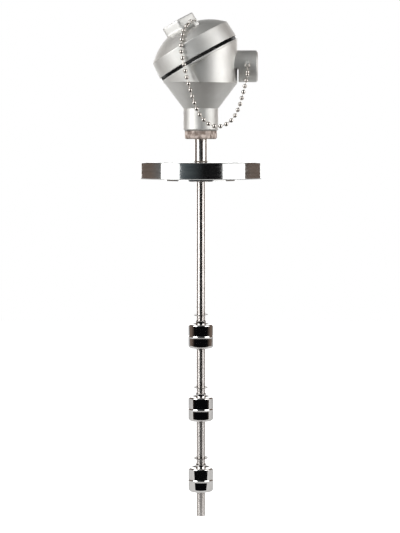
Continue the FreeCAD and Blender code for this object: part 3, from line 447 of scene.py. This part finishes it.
def makeFloat(level):
    shape = floatShape
    outer = shape["diameter"] / 2
    inner = outer - shape["wall"]
    sleeveOut = shape["sleeveBore"] / 2 + shape["sleeveWall"]
    corner, topCorner = shape["corner"], shape["topCorner"]
    innerIn, innerUp = inner - shape["innerCornerIn"], shape["innerCornerUp"]
    seam, top = shape["seamHeight"], shape["height"]
    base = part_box(f"float_{level}_lower_shell")[0].z / mm
    away = np.linspace(0, shape["seamReach"], 12)
    quarter = np.linspace(0, math.pi / 2, 14)
    bulge = outer + seamCurve(away, shape)

    # lower half: seam, wall and rounded bottom edge, then back up inside
    edge = np.stack([outer - corner + corner * np.cos(quarter), corner - corner * np.sin(quarter)], -1)
    lower = np.vstack([
        np.stack([bulge, seam - away], -1),
        edge,
        [[sleeveOut, 0], [sleeveOut, shape["wall"]], [outer - corner, shape["wall"]],
         [innerIn, innerUp], [inner, corner], [inner, seam]],
    ])
    # upper half: the same with a shallow dish round the sleeve, which falls by a power of a sine
    across = np.linspace(0, 1, 10)[1:]
    dishOut = outer - topCorner
    dish = np.stack([
        dishOut + (sleeveOut - dishOut) * across,
        top - shape["dish"] * np.sin(across * math.pi / 2) ** shape["dishPower"],
    ], -1)
    edge = np.stack([
        outer - topCorner + topCorner * np.cos(quarter), top - topCorner + topCorner * np.sin(quarter)
    ], -1)
    upper = np.vstack([
        np.stack([bulge, seam + away], -1),
        edge,
        dish,
        [[sleeveOut, top - shape["dish"] - shape["wall"]], [outer - corner, top - shape["wall"]],
         [innerIn, top - innerUp], [inner, top - corner], [inner, seam]],
    ])
    # sleeve: a thin tube that widens towards its lip by the square of the height
    lip = top + shape["sleeveRise"]
    bore = shape["sleeveBore"] / 2
    flare = np.linspace(0, 1, 8)
    widening = shape["flare"] * flare ** 2
    rising = lip - shape["flareHeight"] * (1 - flare)
    sleeve = np.vstack([
        [[bore, 0], [sleeveOut, 0]],
        np.stack([sleeveOut + widening, rising], -1),
        np.stack([bore + widening, rising], -1)[::-1],
    ])
    for name, profile in (("lower_shell", lower), ("upper_shell", upper), ("sleeve", sleeve)):
        profile = profile + [0, base]
        part = name.replace("_s", "S")
        addPiece(
            f"float{level.capitalize()}{part[0].upper()}{part[1:]}",
            [gridMesh(spun(held(profile), 160), closeRows=True)], mirror, f"float_{level}",
            [f"float_{level}_{name}"],
        )


for level in levels:
    makeFloat(level)
print("floats made")


# Stop rings

ringShape = {
    "diameter": 14.0, "bore": 8.0, "thickness": 0.8, "edge": 0.25, "boreEdge": 0.2,
    "gap": 28.0, "dish": 0.35,
    "lean": {"upper_top": (3.0, 1.5), "upper_middle": (-1.0, 2.0), "upper_bottom": (1.5, 3.4)},
}


def makeStopRing(side, level):
    # A C-shaped ring, slightly dished like a snap ring by the square of the way out from its bore,
    # that may lean in its groove. The grid goes round the ring's open circle and round its rounded
    # oblong section.
    node = f"{side}_stop_ring_{level}"
    low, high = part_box(node)
    middle = (low.z + high.z) / 2 / mm
    gap = math.radians(ringShape["gap"])
    turn = np.linspace(math.pi / 2 + gap, 2.5 * math.pi - gap, 72)[:, None]
    outer, inner = ringShape["diameter"] / 2, ringShape["bore"] / 2
    half = ringShape["thickness"] / 2
    edge, boreEdge = ringShape["edge"], ringShape["boreEdge"]
    section = softened([
        (outer, -half, edge), (outer, half, edge), (inner, half, boreEdge), (inner, -half, boreEdge)
    ], 4)
    radius, height = section[:, 0], section[:, 1]
    share = (radius - inner) / (outer - inner)
    height = height + ringShape["dish"] * (share ** 2 - 0.5)
    points = wound(radius, turn, height)
    sideways, forward = (math.radians(lean) for lean in ringShape["lean"].get(f"{side}_{level}", (0, 0)))
    points[..., 2] += points[..., 0] * math.tan(sideways) + points[..., 1] * math.tan(forward) + middle
    addPiece(
        f"{side}StopRing{level.capitalize()}", [gridMesh(points, capEnds=True)], spring, "housing",
        [node],
    )


for side in ("upper", "lower"):
    for level in levels:
        makeStopRing(side, level)
print("stop rings made")


# Ball chain

chainShape = {
    "bead": 4.4, "pitch": 6.6, "pin": 1.1, "pinNeck": 0.8, "pinRoom": 0.9, "mouth": 0.75,
    "mouthIn": 0.86, "inward": 0.8,
    # the route of the source, from the first bead at the lid to the last one at the conduit boss
    "route": [
        (-14.8, -29.5, 155.2), (-17.3, -33.8, 150.6), (-18.8, -40.9, 143.4), (-19.8, -44.4, 137.0),
        (-19.6, -46.2, 129.6), (-17.6, -46.4, 119.8), (-14.8, -46.8, 107.0), (-10.6, -46.4, 91.0),
        (-5.6, -45.2, 75.8), (1.6, -43.4, 62.8), (12.4, -40.4, 55.5), (24.0, -37.0, 56.6),
        (33.4, -33.2, 64.8), (39.4, -29.2, 78.0), (43.6, -24.6, 93.2), (46.9, -18.7, 107.3),
    ],
}


def smoothLine(points, count):
    # Evenly spaced points on the cubic spline through the given ones. Its second derivatives solve
    # the usual three-term equations, with none at the ends.
    points = np.array(points, float)
    step = np.linalg.norm(np.diff(points, axis=0), axis=1)
    knots = np.concatenate([[0], np.cumsum(step)])
    size = len(points)
    matrix = np.eye(size)
    right = np.zeros((size, 3))
    rows = np.arange(1, size - 1)
    matrix[rows, rows - 1] = step[:-1]
    matrix[rows, rows] = 2 * (step[:-1] + step[1:])
    matrix[rows, rows + 1] = step[1:]
    slope = np.diff(points, axis=0) / step[:, None]
    right[1:-1] = 6 * np.diff(slope, axis=0)
    bend = np.linalg.solve(matrix, right)

    def at(distance):
        i = np.clip(np.searchsorted(knots, distance) - 1, 0, size - 2)
        h = step[i][:, None]
        a = (knots[i + 1] - distance)[:, None] / h
        b = 1 - a
        curve = ((a ** 3 - a) * bend[i] + (b ** 3 - b) * bend[i + 1]) * h ** 2 / 6
        return a * points[i] + b * points[i + 1] + curve

    fine = at(np.linspace(0, knots[-1], 4000))
    run = np.concatenate([[0], np.cumsum(np.linalg.norm(np.diff(fine, axis=0), axis=1))])
    wanted = np.linspace(0, run[-1], count)
    return np.stack([np.interp(wanted, run, fine[:, axis]) for axis in range(3)], -1), run[-1]


def frames(along):
    # For each direction, two more square to it and to each other. The chain never runs straight
    # back, so the first of them can be square to a direction near that.
    backward = (0.3, 1.0, 0.2)
    along = along / np.linalg.norm(along, axis=1)[:, None]
    side = np.cross(along, backward)
    side /= np.linalg.norm(side, axis=1)[:, None]
    return np.stack([side, np.cross(along, side), along], 1)


def makeChain():
    _, length = smoothLine(chainShape["route"], 8)
    count = round(length / chainShape["pitch"]) + 1
    spots, length = smoothLine(chainShape["route"], count)
    print("chain", round(length, 1), "mm,", count, "beads")

    # a bead: a hollow ball whose skin turns in round the hole where the pin enters
    ball = chainShape["bead"] / 2
    mouth = math.asin(chainShape["mouth"] / ball)
    polar = np.linspace(mouth, math.pi - mouth, 15)
    profile = np.stack([ball * np.sin(polar), -ball * np.cos(polar)], -1)
    lip, lipHeight = chainShape["mouth"] * chainShape["inward"], ball * chainShape["mouthIn"]
    inside = np.array([[lip, lipHeight], [lip, -lipHeight]])
    beadPoints, beadFaces = gridMesh(spun(np.vstack([profile, inside]), 22), closeRows=True)
    turned = frames(np.gradient(spots, axis=0))
    points = np.einsum("pi,bij->bpj", beadPoints, turned) + spots[:, None]
    surfaces = [(cloud, beadFaces) for cloud in points]

    # a pin: a short wire with an upset head just inside each bead, in shares of half its length
    pin, neck = chainShape["pin"] / 2, chainShape["pinNeck"] / 2
    starts, run = spots[:-1], np.diff(spots, axis=0)
    half = np.linalg.norm(run, axis=1)[:, None, None] / 2
    share = np.array([-1, -0.92, -0.55, 0.55, 0.92, 1])
    width = np.array([0.5, 1, neck / pin, neck / pin, 1, 0.5]) * pin
    pinPoints, pinFaces = gridMesh(spun(np.stack([width, share], -1), 12), capEnds=True)
    stretched = np.repeat(pinPoints[None], len(run), axis=0)
    stretched[..., 2:] *= half - ball * chainShape["inward"] * chainShape["pinRoom"]
    points = np.einsum("bpi,bij->bpj", stretched, frames(run)) + (starts + run / 2)[:, None]
    surfaces += [(cloud, pinFaces) for cloud in points]
    return addPiece("ballChain", surfaces, nickel, None, ["bead_chain"])


chain = makeChain()
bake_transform(chain)
print("chain made")


# Lid

lidShape = {
    "foot": 44.5, "footIn": 0.9, "footEdge": 0.5, "side": 15.4, "draft": 0.9, "edgeReach": 1.5,
    "edgeRise": 2.35, "edgeRounding": 3.2, "edgeBelow": 2.2, "edgeAbove": 1.5, "bow": 0.05,
    "edgeIn": 0.15, "domeRun": 3, "middle": 1.0,
    "top": 36.7, "wall": 3.6, "base": 1.7, "skirt": 40.55, "step": 10.7, "shoulder": 2.0,
    "hexFlats": 34.5, "hexTop": 43.7, "hexCorner": 19.35, "hexPower": 60, "hexEdge": 0.9,
    "footFillet": 2.2, "footSunk": 0.3,
    "lugSide": 14.5, "lugFront": 26.0, "lugWidth": 4.8, "lugTop": 35.8, "lugHeight": 8.2,
    "lugThickness": 2.0, "lugEdge": 0.3, "lugHole": 2.6, "lugHoleIn": 2.1, "lugPower": 12,
}


def domeHeight(radius):
    # The height of the lid's dome over its foot: a sphere through the apex and the rounded edge.
    shape = lidShape
    edgeIn = shape["foot"] - shape["draft"] - shape["edgeReach"]
    rise = shape["top"] - (shape["base"] + shape["side"] + shape["edgeRise"])
    sphere = (edgeIn ** 2 + rise ** 2) / (2 * rise)
    return shape["top"] - sphere + np.sqrt(sphere ** 2 - radius ** 2)


def lidShell():
    # The skirt, the rounded edge and the dome, and back down inside to the seat for the thread.
    shape = lidShape
    base, sideTop = shape["base"], shape["base"] + shape["side"]
    shoulder = shape["foot"] - shape["draft"]
    edgeIn = shoulder - shape["edgeReach"]
    domeStart = edgeIn - shape["domeRun"]
    innerOut = shape["skirt"] - shape["shoulder"]
    dome = np.linspace(edgeIn, shape["middle"], 40)
    innerDome = np.linspace(shape["middle"], innerOut, 24)
    side = softened([
        (shape["foot"] - shape["footIn"], base, 0), (shape["foot"], base, shape["footEdge"]),
        (shoulder + shape["bow"], sideTop - shape["edgeBelow"], 0),
        (shoulder - shape["edgeIn"], sideTop + shape["edgeAbove"], shape["edgeRounding"]),
        (edgeIn, float(domeHeight(edgeIn)), 0), (domeStart, float(domeHeight(domeStart)), 0),
    ], 12)
    profile = np.vstack([
        side[:-1],
        np.stack([dome, domeHeight(dome)], -1)[1:],
        np.stack([innerDome, domeHeight(innerDome) - shape["wall"]], -1),
        [[innerOut, shape["step"]], [shape["skirt"], shape["step"]], [shape["skirt"], base]],
    ])
    return gridMesh(spun(held(profile), 192), closeRows=True)


def lidHexagon():
    # The hexagon: its polar outline up a hollow foot, a face and a soft top edge, each of the two
    # roundings a quarter of a circle, and then in over the crown.
    shape = lidShape
    turn = np.linspace(0, 2 * math.pi, 216, endpoint=False)
    outline = hexOutline(turn + math.pi / 6, shape["hexFlats"], shape["hexCorner"], shape["hexPower"])
    fillet, edge = shape["footFillet"], shape["hexEdge"]
    top = shape["hexTop"] - edge
    sweep = np.linspace(0, math.pi / 2, 9)[:, None]
    footRadius = outline + fillet * (1 - np.sin(sweep))
    footHeight = domeHeight(outline + fillet * 0.6) - shape["footSunk"] + fillet * (1 - np.cos(sweep))
    faceRadius = np.repeat(outline[None], 4, axis=0)
    faceHeight = footHeight[-1] + (top - footHeight[-1]) * np.linspace(0.05, 1, 4)[:, None]
    edgeRadius = outline - edge * (1 - np.cos(sweep[::2]))
    edgeHeight = top + edge * np.sin(sweep[::2]) + 0 * turn
    crownRadius = (outline - edge) * np.array([[0.8], [0.4], [0.05]])
    crownHeight = shape["hexTop"] + 0 * crownRadius
    radius = np.vstack([footRadius, faceRadius, edgeRadius[1:], crownRadius])
    height = np.vstack([footHeight, faceHeight, edgeHeight[1:], crownHeight])
    return gridMesh(wound(radius, turn, height), capEnds=True)


def lidLug():
    # The chain's lug: an oblong plate round its hole, both as polar outlines about the hole.
    shape = lidShape
    turn = np.linspace(0, 2 * math.pi, 64, endpoint=False)
    up, down = shape["lugHoleIn"], shape["lugHeight"] - shape["lugHoleIn"]
    cosine, sine = np.cos(turn), np.sin(turn)
    sideReach = shape["lugWidth"] / 2 / np.maximum(np.abs(cosine), 1e-6)
    endReach = np.where(sine > 0, up, down) / np.maximum(np.abs(sine), 1e-6)
    plate = rounded(sideReach, endReach, shape["lugPower"])
    hole = shape["lugHole"] / 2
    half, edge = shape["lugThickness"] / 2, shape["lugEdge"]
    section = softened([(1, -half, edge), (1, half, edge), (0, half, edge), (0, -half, edge)], 4)
    reach = hole + (plate - hole) * section[:, :1]
    wide, deep = reach * cosine, section[:, 1:] + 0 * reach
    facing = math.atan2(shape["lugSide"], shape["lugFront"])
    grid = np.stack([
        shape["lugSide"] + wide * math.cos(facing) - deep * math.sin(facing),
        -shape["lugFront"] + wide * math.sin(facing) + deep * math.cos(facing),
        shape["lugTop"] - shape["lugHoleIn"] + reach * sine,
    ], -1)
    return gridMesh(grid, closeRows=True)


def makeLid():
    surfaces = [(onLid(points), faces) for points, faces in (lidShell(), lidHexagon(), lidLug())]
    addPiece("screwLid", surfaces, aluminium, "lid", ["head_lid"])


makeLid()
print("lid made")


# Gasket and threads

gasketShape = {
    "outer": 43.0, "inner": 40.35, "thickness": 3.4, "edge": 0.4, "ribs": 204, "ribDepth": 0.7,
}
threadShape = {
    "spigot": {"radius": 40.2, "ridge": 0.3, "sunk": 0.15, "pitch": 2.0, "from": 0.2, "to": 8.6},
    "entry": {"radius": 9.5, "ridge": -0.55, "sunk": 0.15, "pitch": 1.6, "from": 0.4, "to": 13.4},
}


def makeGasket():
    # A flat ring whose rim is cut into fine ribs: its radius dips by half a cosine wave per rib.
    shape = gasketShape
    turn = np.linspace(0, 2 * math.pi, shape["ribs"] * 6, endpoint=False)
    dip = shape["ribDepth"] * (0.5 - 0.5 * np.cos(turn * shape["ribs"]))
    half, edge = shape["thickness"] / 2, shape["edge"]
    profile = softened([
        (shape["inner"], -half, 0), (shape["outer"], -half, edge), (shape["outer"], half, edge),
        (shape["inner"], half, 0),
    ], 4)
    share = np.clip((profile[:, :1] - shape["inner"]) / (shape["outer"] - shape["inner"]), 0, 1)
    radius = profile[:, :1] - dip * (share > 0.5)
    points, faces = gridMesh(wound(radius, turn, profile[:, 1:2]), closeRows=True)
    addPiece("ribbedGasket", [(onLid(points), faces)], rubber, "seal", ["lid_gasket"])


def threadRidge(shape):
    # A ridge with sloping sides and a narrow crest, wound on a cylinder: each point rises by a pitch
    # in a turn. Its section shrinks over the first and the last quarter of a turn.
    turns = (shape["to"] - shape["from"]) / shape["pitch"]
    turn = np.linspace(0, 2 * math.pi * turns, int(turns * 72))[:, None]
    fade = np.clip(np.minimum(turn, turn[-1] - turn) / (math.pi / 2), 0.05, 1)
    width = np.array([-0.48, -0.1, 0.1, 0.48, 0.3, -0.3]) * shape["pitch"]
    sunk = math.copysign(shape["sunk"], shape["ridge"])
    rise = np.array([-sunk * 0.2, shape["ridge"], shape["ridge"], -sunk * 0.2, -sunk, -sunk])
    radius = shape["radius"] + rise * fade
    height = shape["from"] + turn / (2 * math.pi) * shape["pitch"] + width * fade
    return gridMesh(wound(radius, turn, height), capEnds=True)


def makeThreads():
    points, faces = threadRidge(threadShape["spigot"])
    addPiece("spigotThread", [(onLid(points), faces)], aluminium, "housing")
    points, faces = threadRidge(threadShape["entry"])
    entry = next(mount for mount in frame["record"]["mounts"] if mount["name"] == "conduit_entry")
    mouth = np.array(entry["pos_m"]) / mm
    inward = np.stack([mouth[0] - points[:, 2], points[:, 1], mouth[2] + points[:, 0]], -1)
    addPiece("entryThread", [(inward, faces)], aluminium, "housing")


makeGasket()
makeThreads()
print("gasket and threads made")


# Bushing and weld

bushingShape = {
    "flats": 29.2, "worn": 16.55, "wornPower": 50, "hexHeight": 8.6, "edge": 1.0, "footEdge": 2.0,
    "spigot": 14.0, "pipe": 13.2, "socket": 6.5, "socketRadius": 6.35, "socketRoom": 0.02,
    "bore": 4.85, "roughness": 0.16, "waves": 40, "seed": 4,
}
weldShape = {
    "leg": 1.5, "even": 0.86, "swell": 0.08, "ripple": 0.10, "ripples": 34, "hollow": 1.25,
    "sunk": 0.3, "footSunk": 0.02,
}


def sandSkin(points, size, count, seed):
    # A rough cast skin: the mean of sines in many directions, scaled so that its spread is about
    # the given size. The seed makes it repeat from run to run.
    source = np.random.default_rng(seed)
    waves = source.normal(size=(count, 3)) * source.uniform(0.6, 3.2, size=(count, 1))
    phases = source.uniform(0, 2 * math.pi, count)
    return np.sin(points @ waves.T + phases).mean(axis=-1) * size * math.sqrt(count / 2)


def makeBushing():
    # A ring of the same turns for each row: up the socket, out under the hexagon, up its faces
    # between two roundings that are quarters of circles, and round the pipe and the bore. The
    # hexagon's skin is worn inwards by the size of the rough cast skin.
    shape = bushingShape
    low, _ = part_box("reducing_bushing")
    base = low.z / mm
    hexTop = base + shape["hexHeight"]
    edge, footEdge = shape["edge"], shape["footEdge"]
    turn = np.linspace(0, 2 * math.pi, 300, endpoint=False)
    outline = hexOutline(turn, shape["flats"], shape["worn"], shape["wornPower"])
    sweep = np.linspace(0, math.pi / 2, 6)[:, None]
    sides = np.linspace(base + footEdge, hexTop - edge, 26)[1:-1, None]
    socket = shape["socketRadius"] + shape["socketRoom"]

    def rows(radius, height):
        return np.stack([radius + 0 * turn + 0 * height, height + 0 * turn], -1).reshape(-1, len(turn), 2)

    grid = np.vstack([
        rows(socket, base + shape["socket"]),
        rows(socket, base),
        rows(0.72 * outline, base),
        rows(0.9 * outline, base),
        rows(outline - footEdge * (1 - np.sin(sweep)), base + footEdge * (1 - np.cos(sweep))),
        rows(outline, sides),
        rows(outline - edge * (1 - np.cos(sweep)), hexTop - edge * (1 - np.sin(sweep))),
        rows(shape["pipe"], hexTop),
        rows(shape["pipe"], hexTop + shape["spigot"]),
        rows(shape["bore"], hexTop + shape["spigot"]),
        rows(shape["bore"], base + shape["socket"]),
    ])
    radius, height = grid[..., 0], grid[..., 1]
    points = wound(radius, turn, height)
    inHex = (radius > shape["pipe"] + 0.5)[..., None]
    skin = sandSkin(points, shape["roughness"], shape["waves"], shape["seed"])[..., None]
    outwards = np.stack([np.cos(turn), np.sin(turn), 0 * turn], -1)
    points = points - inHex * np.abs(skin) * outwards
    addPiece(
        "hexBushing", [gridMesh(points, closeRows=True)], iron, "housing",
        ["reducing_bushing"],
    )


def makeWeld():
    # A fillet round the riser's foot: a slope made hollow by a power, whose leg swells three times
    # round the tube by a sine, and with each ripple of the weld by the size of a sine.
    shape = weldShape
    low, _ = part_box("riser_weld")
    base = low.z / mm
    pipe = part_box("riser_tube")[1].x / mm
    turn = np.linspace(0, 2 * math.pi, 408, endpoint=False)
    ripple = shape["ripple"] * np.abs(np.sin(turn * shape["ripples"] / 2))
    leg = shape["leg"] * (shape["even"] + shape["swell"] * np.sin(3 * turn + 1) + ripple)
    slope = np.linspace(0, 1, 9)[:, None]
    radius = pipe + leg * (1 - slope) ** shape["hollow"]
    height = base + leg * slope ** shape["hollow"]
    sunk = pipe - shape["sunk"] + 0 * turn
    radius = np.vstack([radius, sunk, sunk])
    height = np.vstack([height, height[-1:], base - shape["footSunk"] + 0 * turn])
    surface = gridMesh(wound(radius, turn, height), closeRows=True)
    addPiece("riserWeld", [surface], weld, "housing", ["riser_weld"])


makeBushing()
makeWeld()
print("bushing and weld made")


# Room, lamps and camera

studio = {
    "floorHeight": -0.362, "floorFront": -0.15, "floorBack": 2.1, "floorSide": 1.42,
    "floorSeen": 0.9, "floorMirrored": 0.16,
    "boxDistance": 1.1, "boxBottom": -0.20,
    "rightBox": {"from": 39.6, "to": 86.5, "top": 1.0, "brightness": 2.7},
    "leftBox": {"from": 39.2, "to": 75.5, "top": 1.5, "brightness": 4.0},
    "cameraHeight": 0.040, "cameraDistance": 1.78, "middleHeight": -0.0877, "aimHeight": -0.0241,
    "aimSide": -0.0009, "viewHeight": 0.5447, "fill": 0.6, "backdrop": 2.2, "ceiling": 0.15,
    "roomRadius": 2.7, "roomBottom": -0.8, "roomTop": 2.2, "roomReach": 143,
}


def makeFloor():
    # A white table. The camera sees it white with only a trace of the object's shadow, and polished
    # metal sees little more of it than the lamps light.
    material, tree = newMaterial("whiteTable")
    paint = addNode(tree, "ShaderNodeMapRange", {
        "Value": spotsOf(tree, 40, 2), "From Min": 0.3, "From Max": 0.7,
    })
    colour = addNode(tree, "ShaderNodeMix", {
        "Factor": paint.outputs["Result"], 6: linear("B4B4B4"), 7: linear("BABABA"),
    }, data_type="RGBA")
    painted = addNode(tree, "ShaderNodeBsdfDiffuse", {"Color": colour.outputs[2]})
    path = addNode(tree, "ShaderNodeLightPath")
    mirrored = addNode(tree, "ShaderNodeMath", {
        0: path.outputs["Is Glossy Ray"], 1: studio["floorMirrored"],
    }, operation="MULTIPLY")
    seen = addNode(tree, "ShaderNodeMath", {
        0: path.outputs["Is Camera Ray"], 1: studio["floorSeen"], 2: mirrored.outputs[0],
    }, operation="MULTIPLY_ADD")
    shining = addNode(tree, "ShaderNodeEmission", {"Color": (1, 1, 1, 1), "Strength": seen.outputs[0]})
    both = addNode(tree, "ShaderNodeAddShader", {0: painted.outputs[0], 1: shining.outputs[0]})
    addNode(tree, "ShaderNodeOutputMaterial", {"Surface": both.outputs[0]})
    side, front, back = studio["floorSide"], studio["floorFront"], studio["floorBack"]
    mesh = bpy.data.meshes.new("table")
    corners = [(-side, front), (side, front), (side, back), (-side, back)]
    mesh.from_pydata([(x, y, studio["floorHeight"]) for x, y in corners], [], [(0, 1, 2, 3)])
    mesh.materials.append(material)
    table = bpy.data.objects.new("table", mesh)
    bpy.context.scene.collection.objects.link(table)


def makeSoftbox(name, box, sign):
    # A tall soft lamp that fills the given angles from the camera's direction, as seen from the
    # object, on its right with sign 1 and on its left with -1.
    middle = math.radians((box["from"] + box["to"]) / 2)
    spread = math.radians(box["to"] - box["from"])
    distance = studio["boxDistance"]
    width = 2 * distance * math.tan(spread / 2)
    height = box["top"] - studio["boxBottom"]
    lamp = bpy.data.lights.new(name, "AREA")
    lamp.shape = "RECTANGLE"
    lamp.size, lamp.size_y = width, height
    lamp.energy = box["brightness"] * math.pi * width * height
    holder = bpy.data.objects.new(name, lamp)
    place = Vector((sign * distance * math.sin(middle), -distance * math.cos(middle), 0))
    holder.location = place + Vector((0, 0, (box["top"] + studio["boxBottom"]) / 2))
    holder.rotation_euler = (-place).to_track_quat("-Z", "Y").to_euler()
    holder.visible_camera = False
    bpy.context.scene.collection.objects.link(holder)


def makeRoom():
    # Curtains round the front and the sides of the table, open at the top and at the back: black in
    # front and dim brown further back, with a grey window high up on the left of the front. Only
    # reflections see them.
    material, tree = newMaterial("darkCurtain")
    place = addNode(tree, "ShaderNodeTexCoord").outputs["Object"]
    spot = addNode(tree, "ShaderNodeSeparateXYZ", {0: place})
    leftSide = addNode(tree, "ShaderNodeMapRange", {
        "Value": spot.outputs["X"], "From Min": -1.6, "From Max": 0.2, "To Min": 1.0, "To Max": 0.0,
    })
    highUp = addNode(tree, "ShaderNodeMapRange", {
        "Value": spot.outputs["Z"], "From Min": -0.3, "From Max": 0.0,
    })
    window = addNode(tree, "ShaderNodeMath", {
        0: leftSide.outputs["Result"], 1: highUp.outputs["Result"],
    }, operation="MULTIPLY")
    farBack = addNode(tree, "ShaderNodeMapRange", {
        "Value": spot.outputs["Y"], "From Min": -1.2, "From Max": 0.6,
    })
    front = addNode(tree, "ShaderNodeMix", {
        "Factor": window.outputs[0], 6: linear("09090B"), 7: linear("747F83"),
    }, data_type="RGBA")
    tone = addNode(tree, "ShaderNodeMix", {
        "Factor": farBack.outputs["Result"], 6: front.outputs[2], 7: linear("73655C"),
    }, data_type="RGBA")
    shade = addNode(tree, "ShaderNodeEmission", {"Color": tone.outputs[2]})
    addNode(tree, "ShaderNodeOutputMaterial", {"Surface": shade.outputs[0]})
    reach = math.radians(studio["roomReach"])
    turn = np.linspace(-reach, reach, 48) - math.pi / 2
    radius = np.array([[0.01], [1], [1], [1]]) * studio["roomRadius"]
    low, high = studio["roomBottom"], studio["roomTop"]
    height = np.array([[low], [low], [(low + high) / 2], [high]])
    surface = gridMesh(wound(radius, turn, height), closeColumns=False)
    curtain = addPiece("curtain", [surface], material, None, scale=1)
    for sight in ("camera", "diffuse", "transmission", "shadow", "volume_scatter"):
        setattr(curtain, f"visible_{sight}", False)


def makeWorld():
    # White for the camera and through glass. Metal sees a bright backdrop behind the object, which
    # falls to a dim ceiling overhead. Plain surfaces get a little even light.
    world = bpy.data.worlds.new("studioRoom")
    world.use_nodes = True
    tree = world.node_tree
    tree.nodes.clear()
    path = addNode(tree, "ShaderNodeLightPath")
    straight = addNode(tree, "ShaderNodeMath", {
        0: path.outputs["Is Camera Ray"], 1: path.outputs["Is Transmission Ray"],
    }, operation="MAXIMUM")
    place = addNode(tree, "ShaderNodeTexCoord").outputs["Generated"]
    upward = addNode(tree, "ShaderNodeSeparateXYZ", {0: place}).outputs["Z"]
    overhead = addNode(tree, "ShaderNodeMapRange", {
        "Value": upward, "From Min": 0.2, "From Max": 0.5, "To Min": studio["backdrop"],
        "To Max": studio["ceiling"],
    })
    room = addNode(tree, "ShaderNodeMix", {
        "Factor": path.outputs["Is Glossy Ray"], 2: studio["fill"], 3: overhead.outputs["Result"],
    }, data_type="FLOAT")
    strength = addNode(tree, "ShaderNodeMix", {
        "Factor": straight.outputs[0], 2: room.outputs[0], 3: 1.0,
    }, data_type="FLOAT")
    light = addNode(tree, "ShaderNodeBackground", {"Color": (1, 1, 1, 1), "Strength": strength.outputs[0]})
    addNode(tree, "ShaderNodeOutputWorld", {"Surface": light.outputs[0]})
    bpy.context.scene.world = world


def makeCamera():
    camera = bpy.data.cameras.new("camera")
    camera.sensor_width = 36  # the frame's long side, which stands upright
    holder = bpy.data.objects.new("camera", camera)
    holder.location = (studio["aimSide"], -studio["cameraDistance"], studio["cameraHeight"])
    aim = Vector((studio["aimSide"], 0, studio["aimHeight"]))
    away = aim - holder.location
    camera.lens = camera.sensor_width * away.length / studio["viewHeight"]
    camera.shift_y = (studio["middleHeight"] - studio["aimHeight"]) / studio["viewHeight"]
    holder.rotation_euler = away.to_track_quat("-Z", "Y").to_euler()
    bpy.context.scene.collection.objects.link(holder)
    bpy.context.scene.camera = holder


makeFloor()
makeSoftbox("rightSoftbox", studio["rightBox"], 1)
makeSoftbox("leftSoftbox", studio["leftBox"], -1)
makeRoom()
makeWorld()
makeCamera()
bpy.context.scene.view_settings.view_transform = "Standard"
print("studio made")
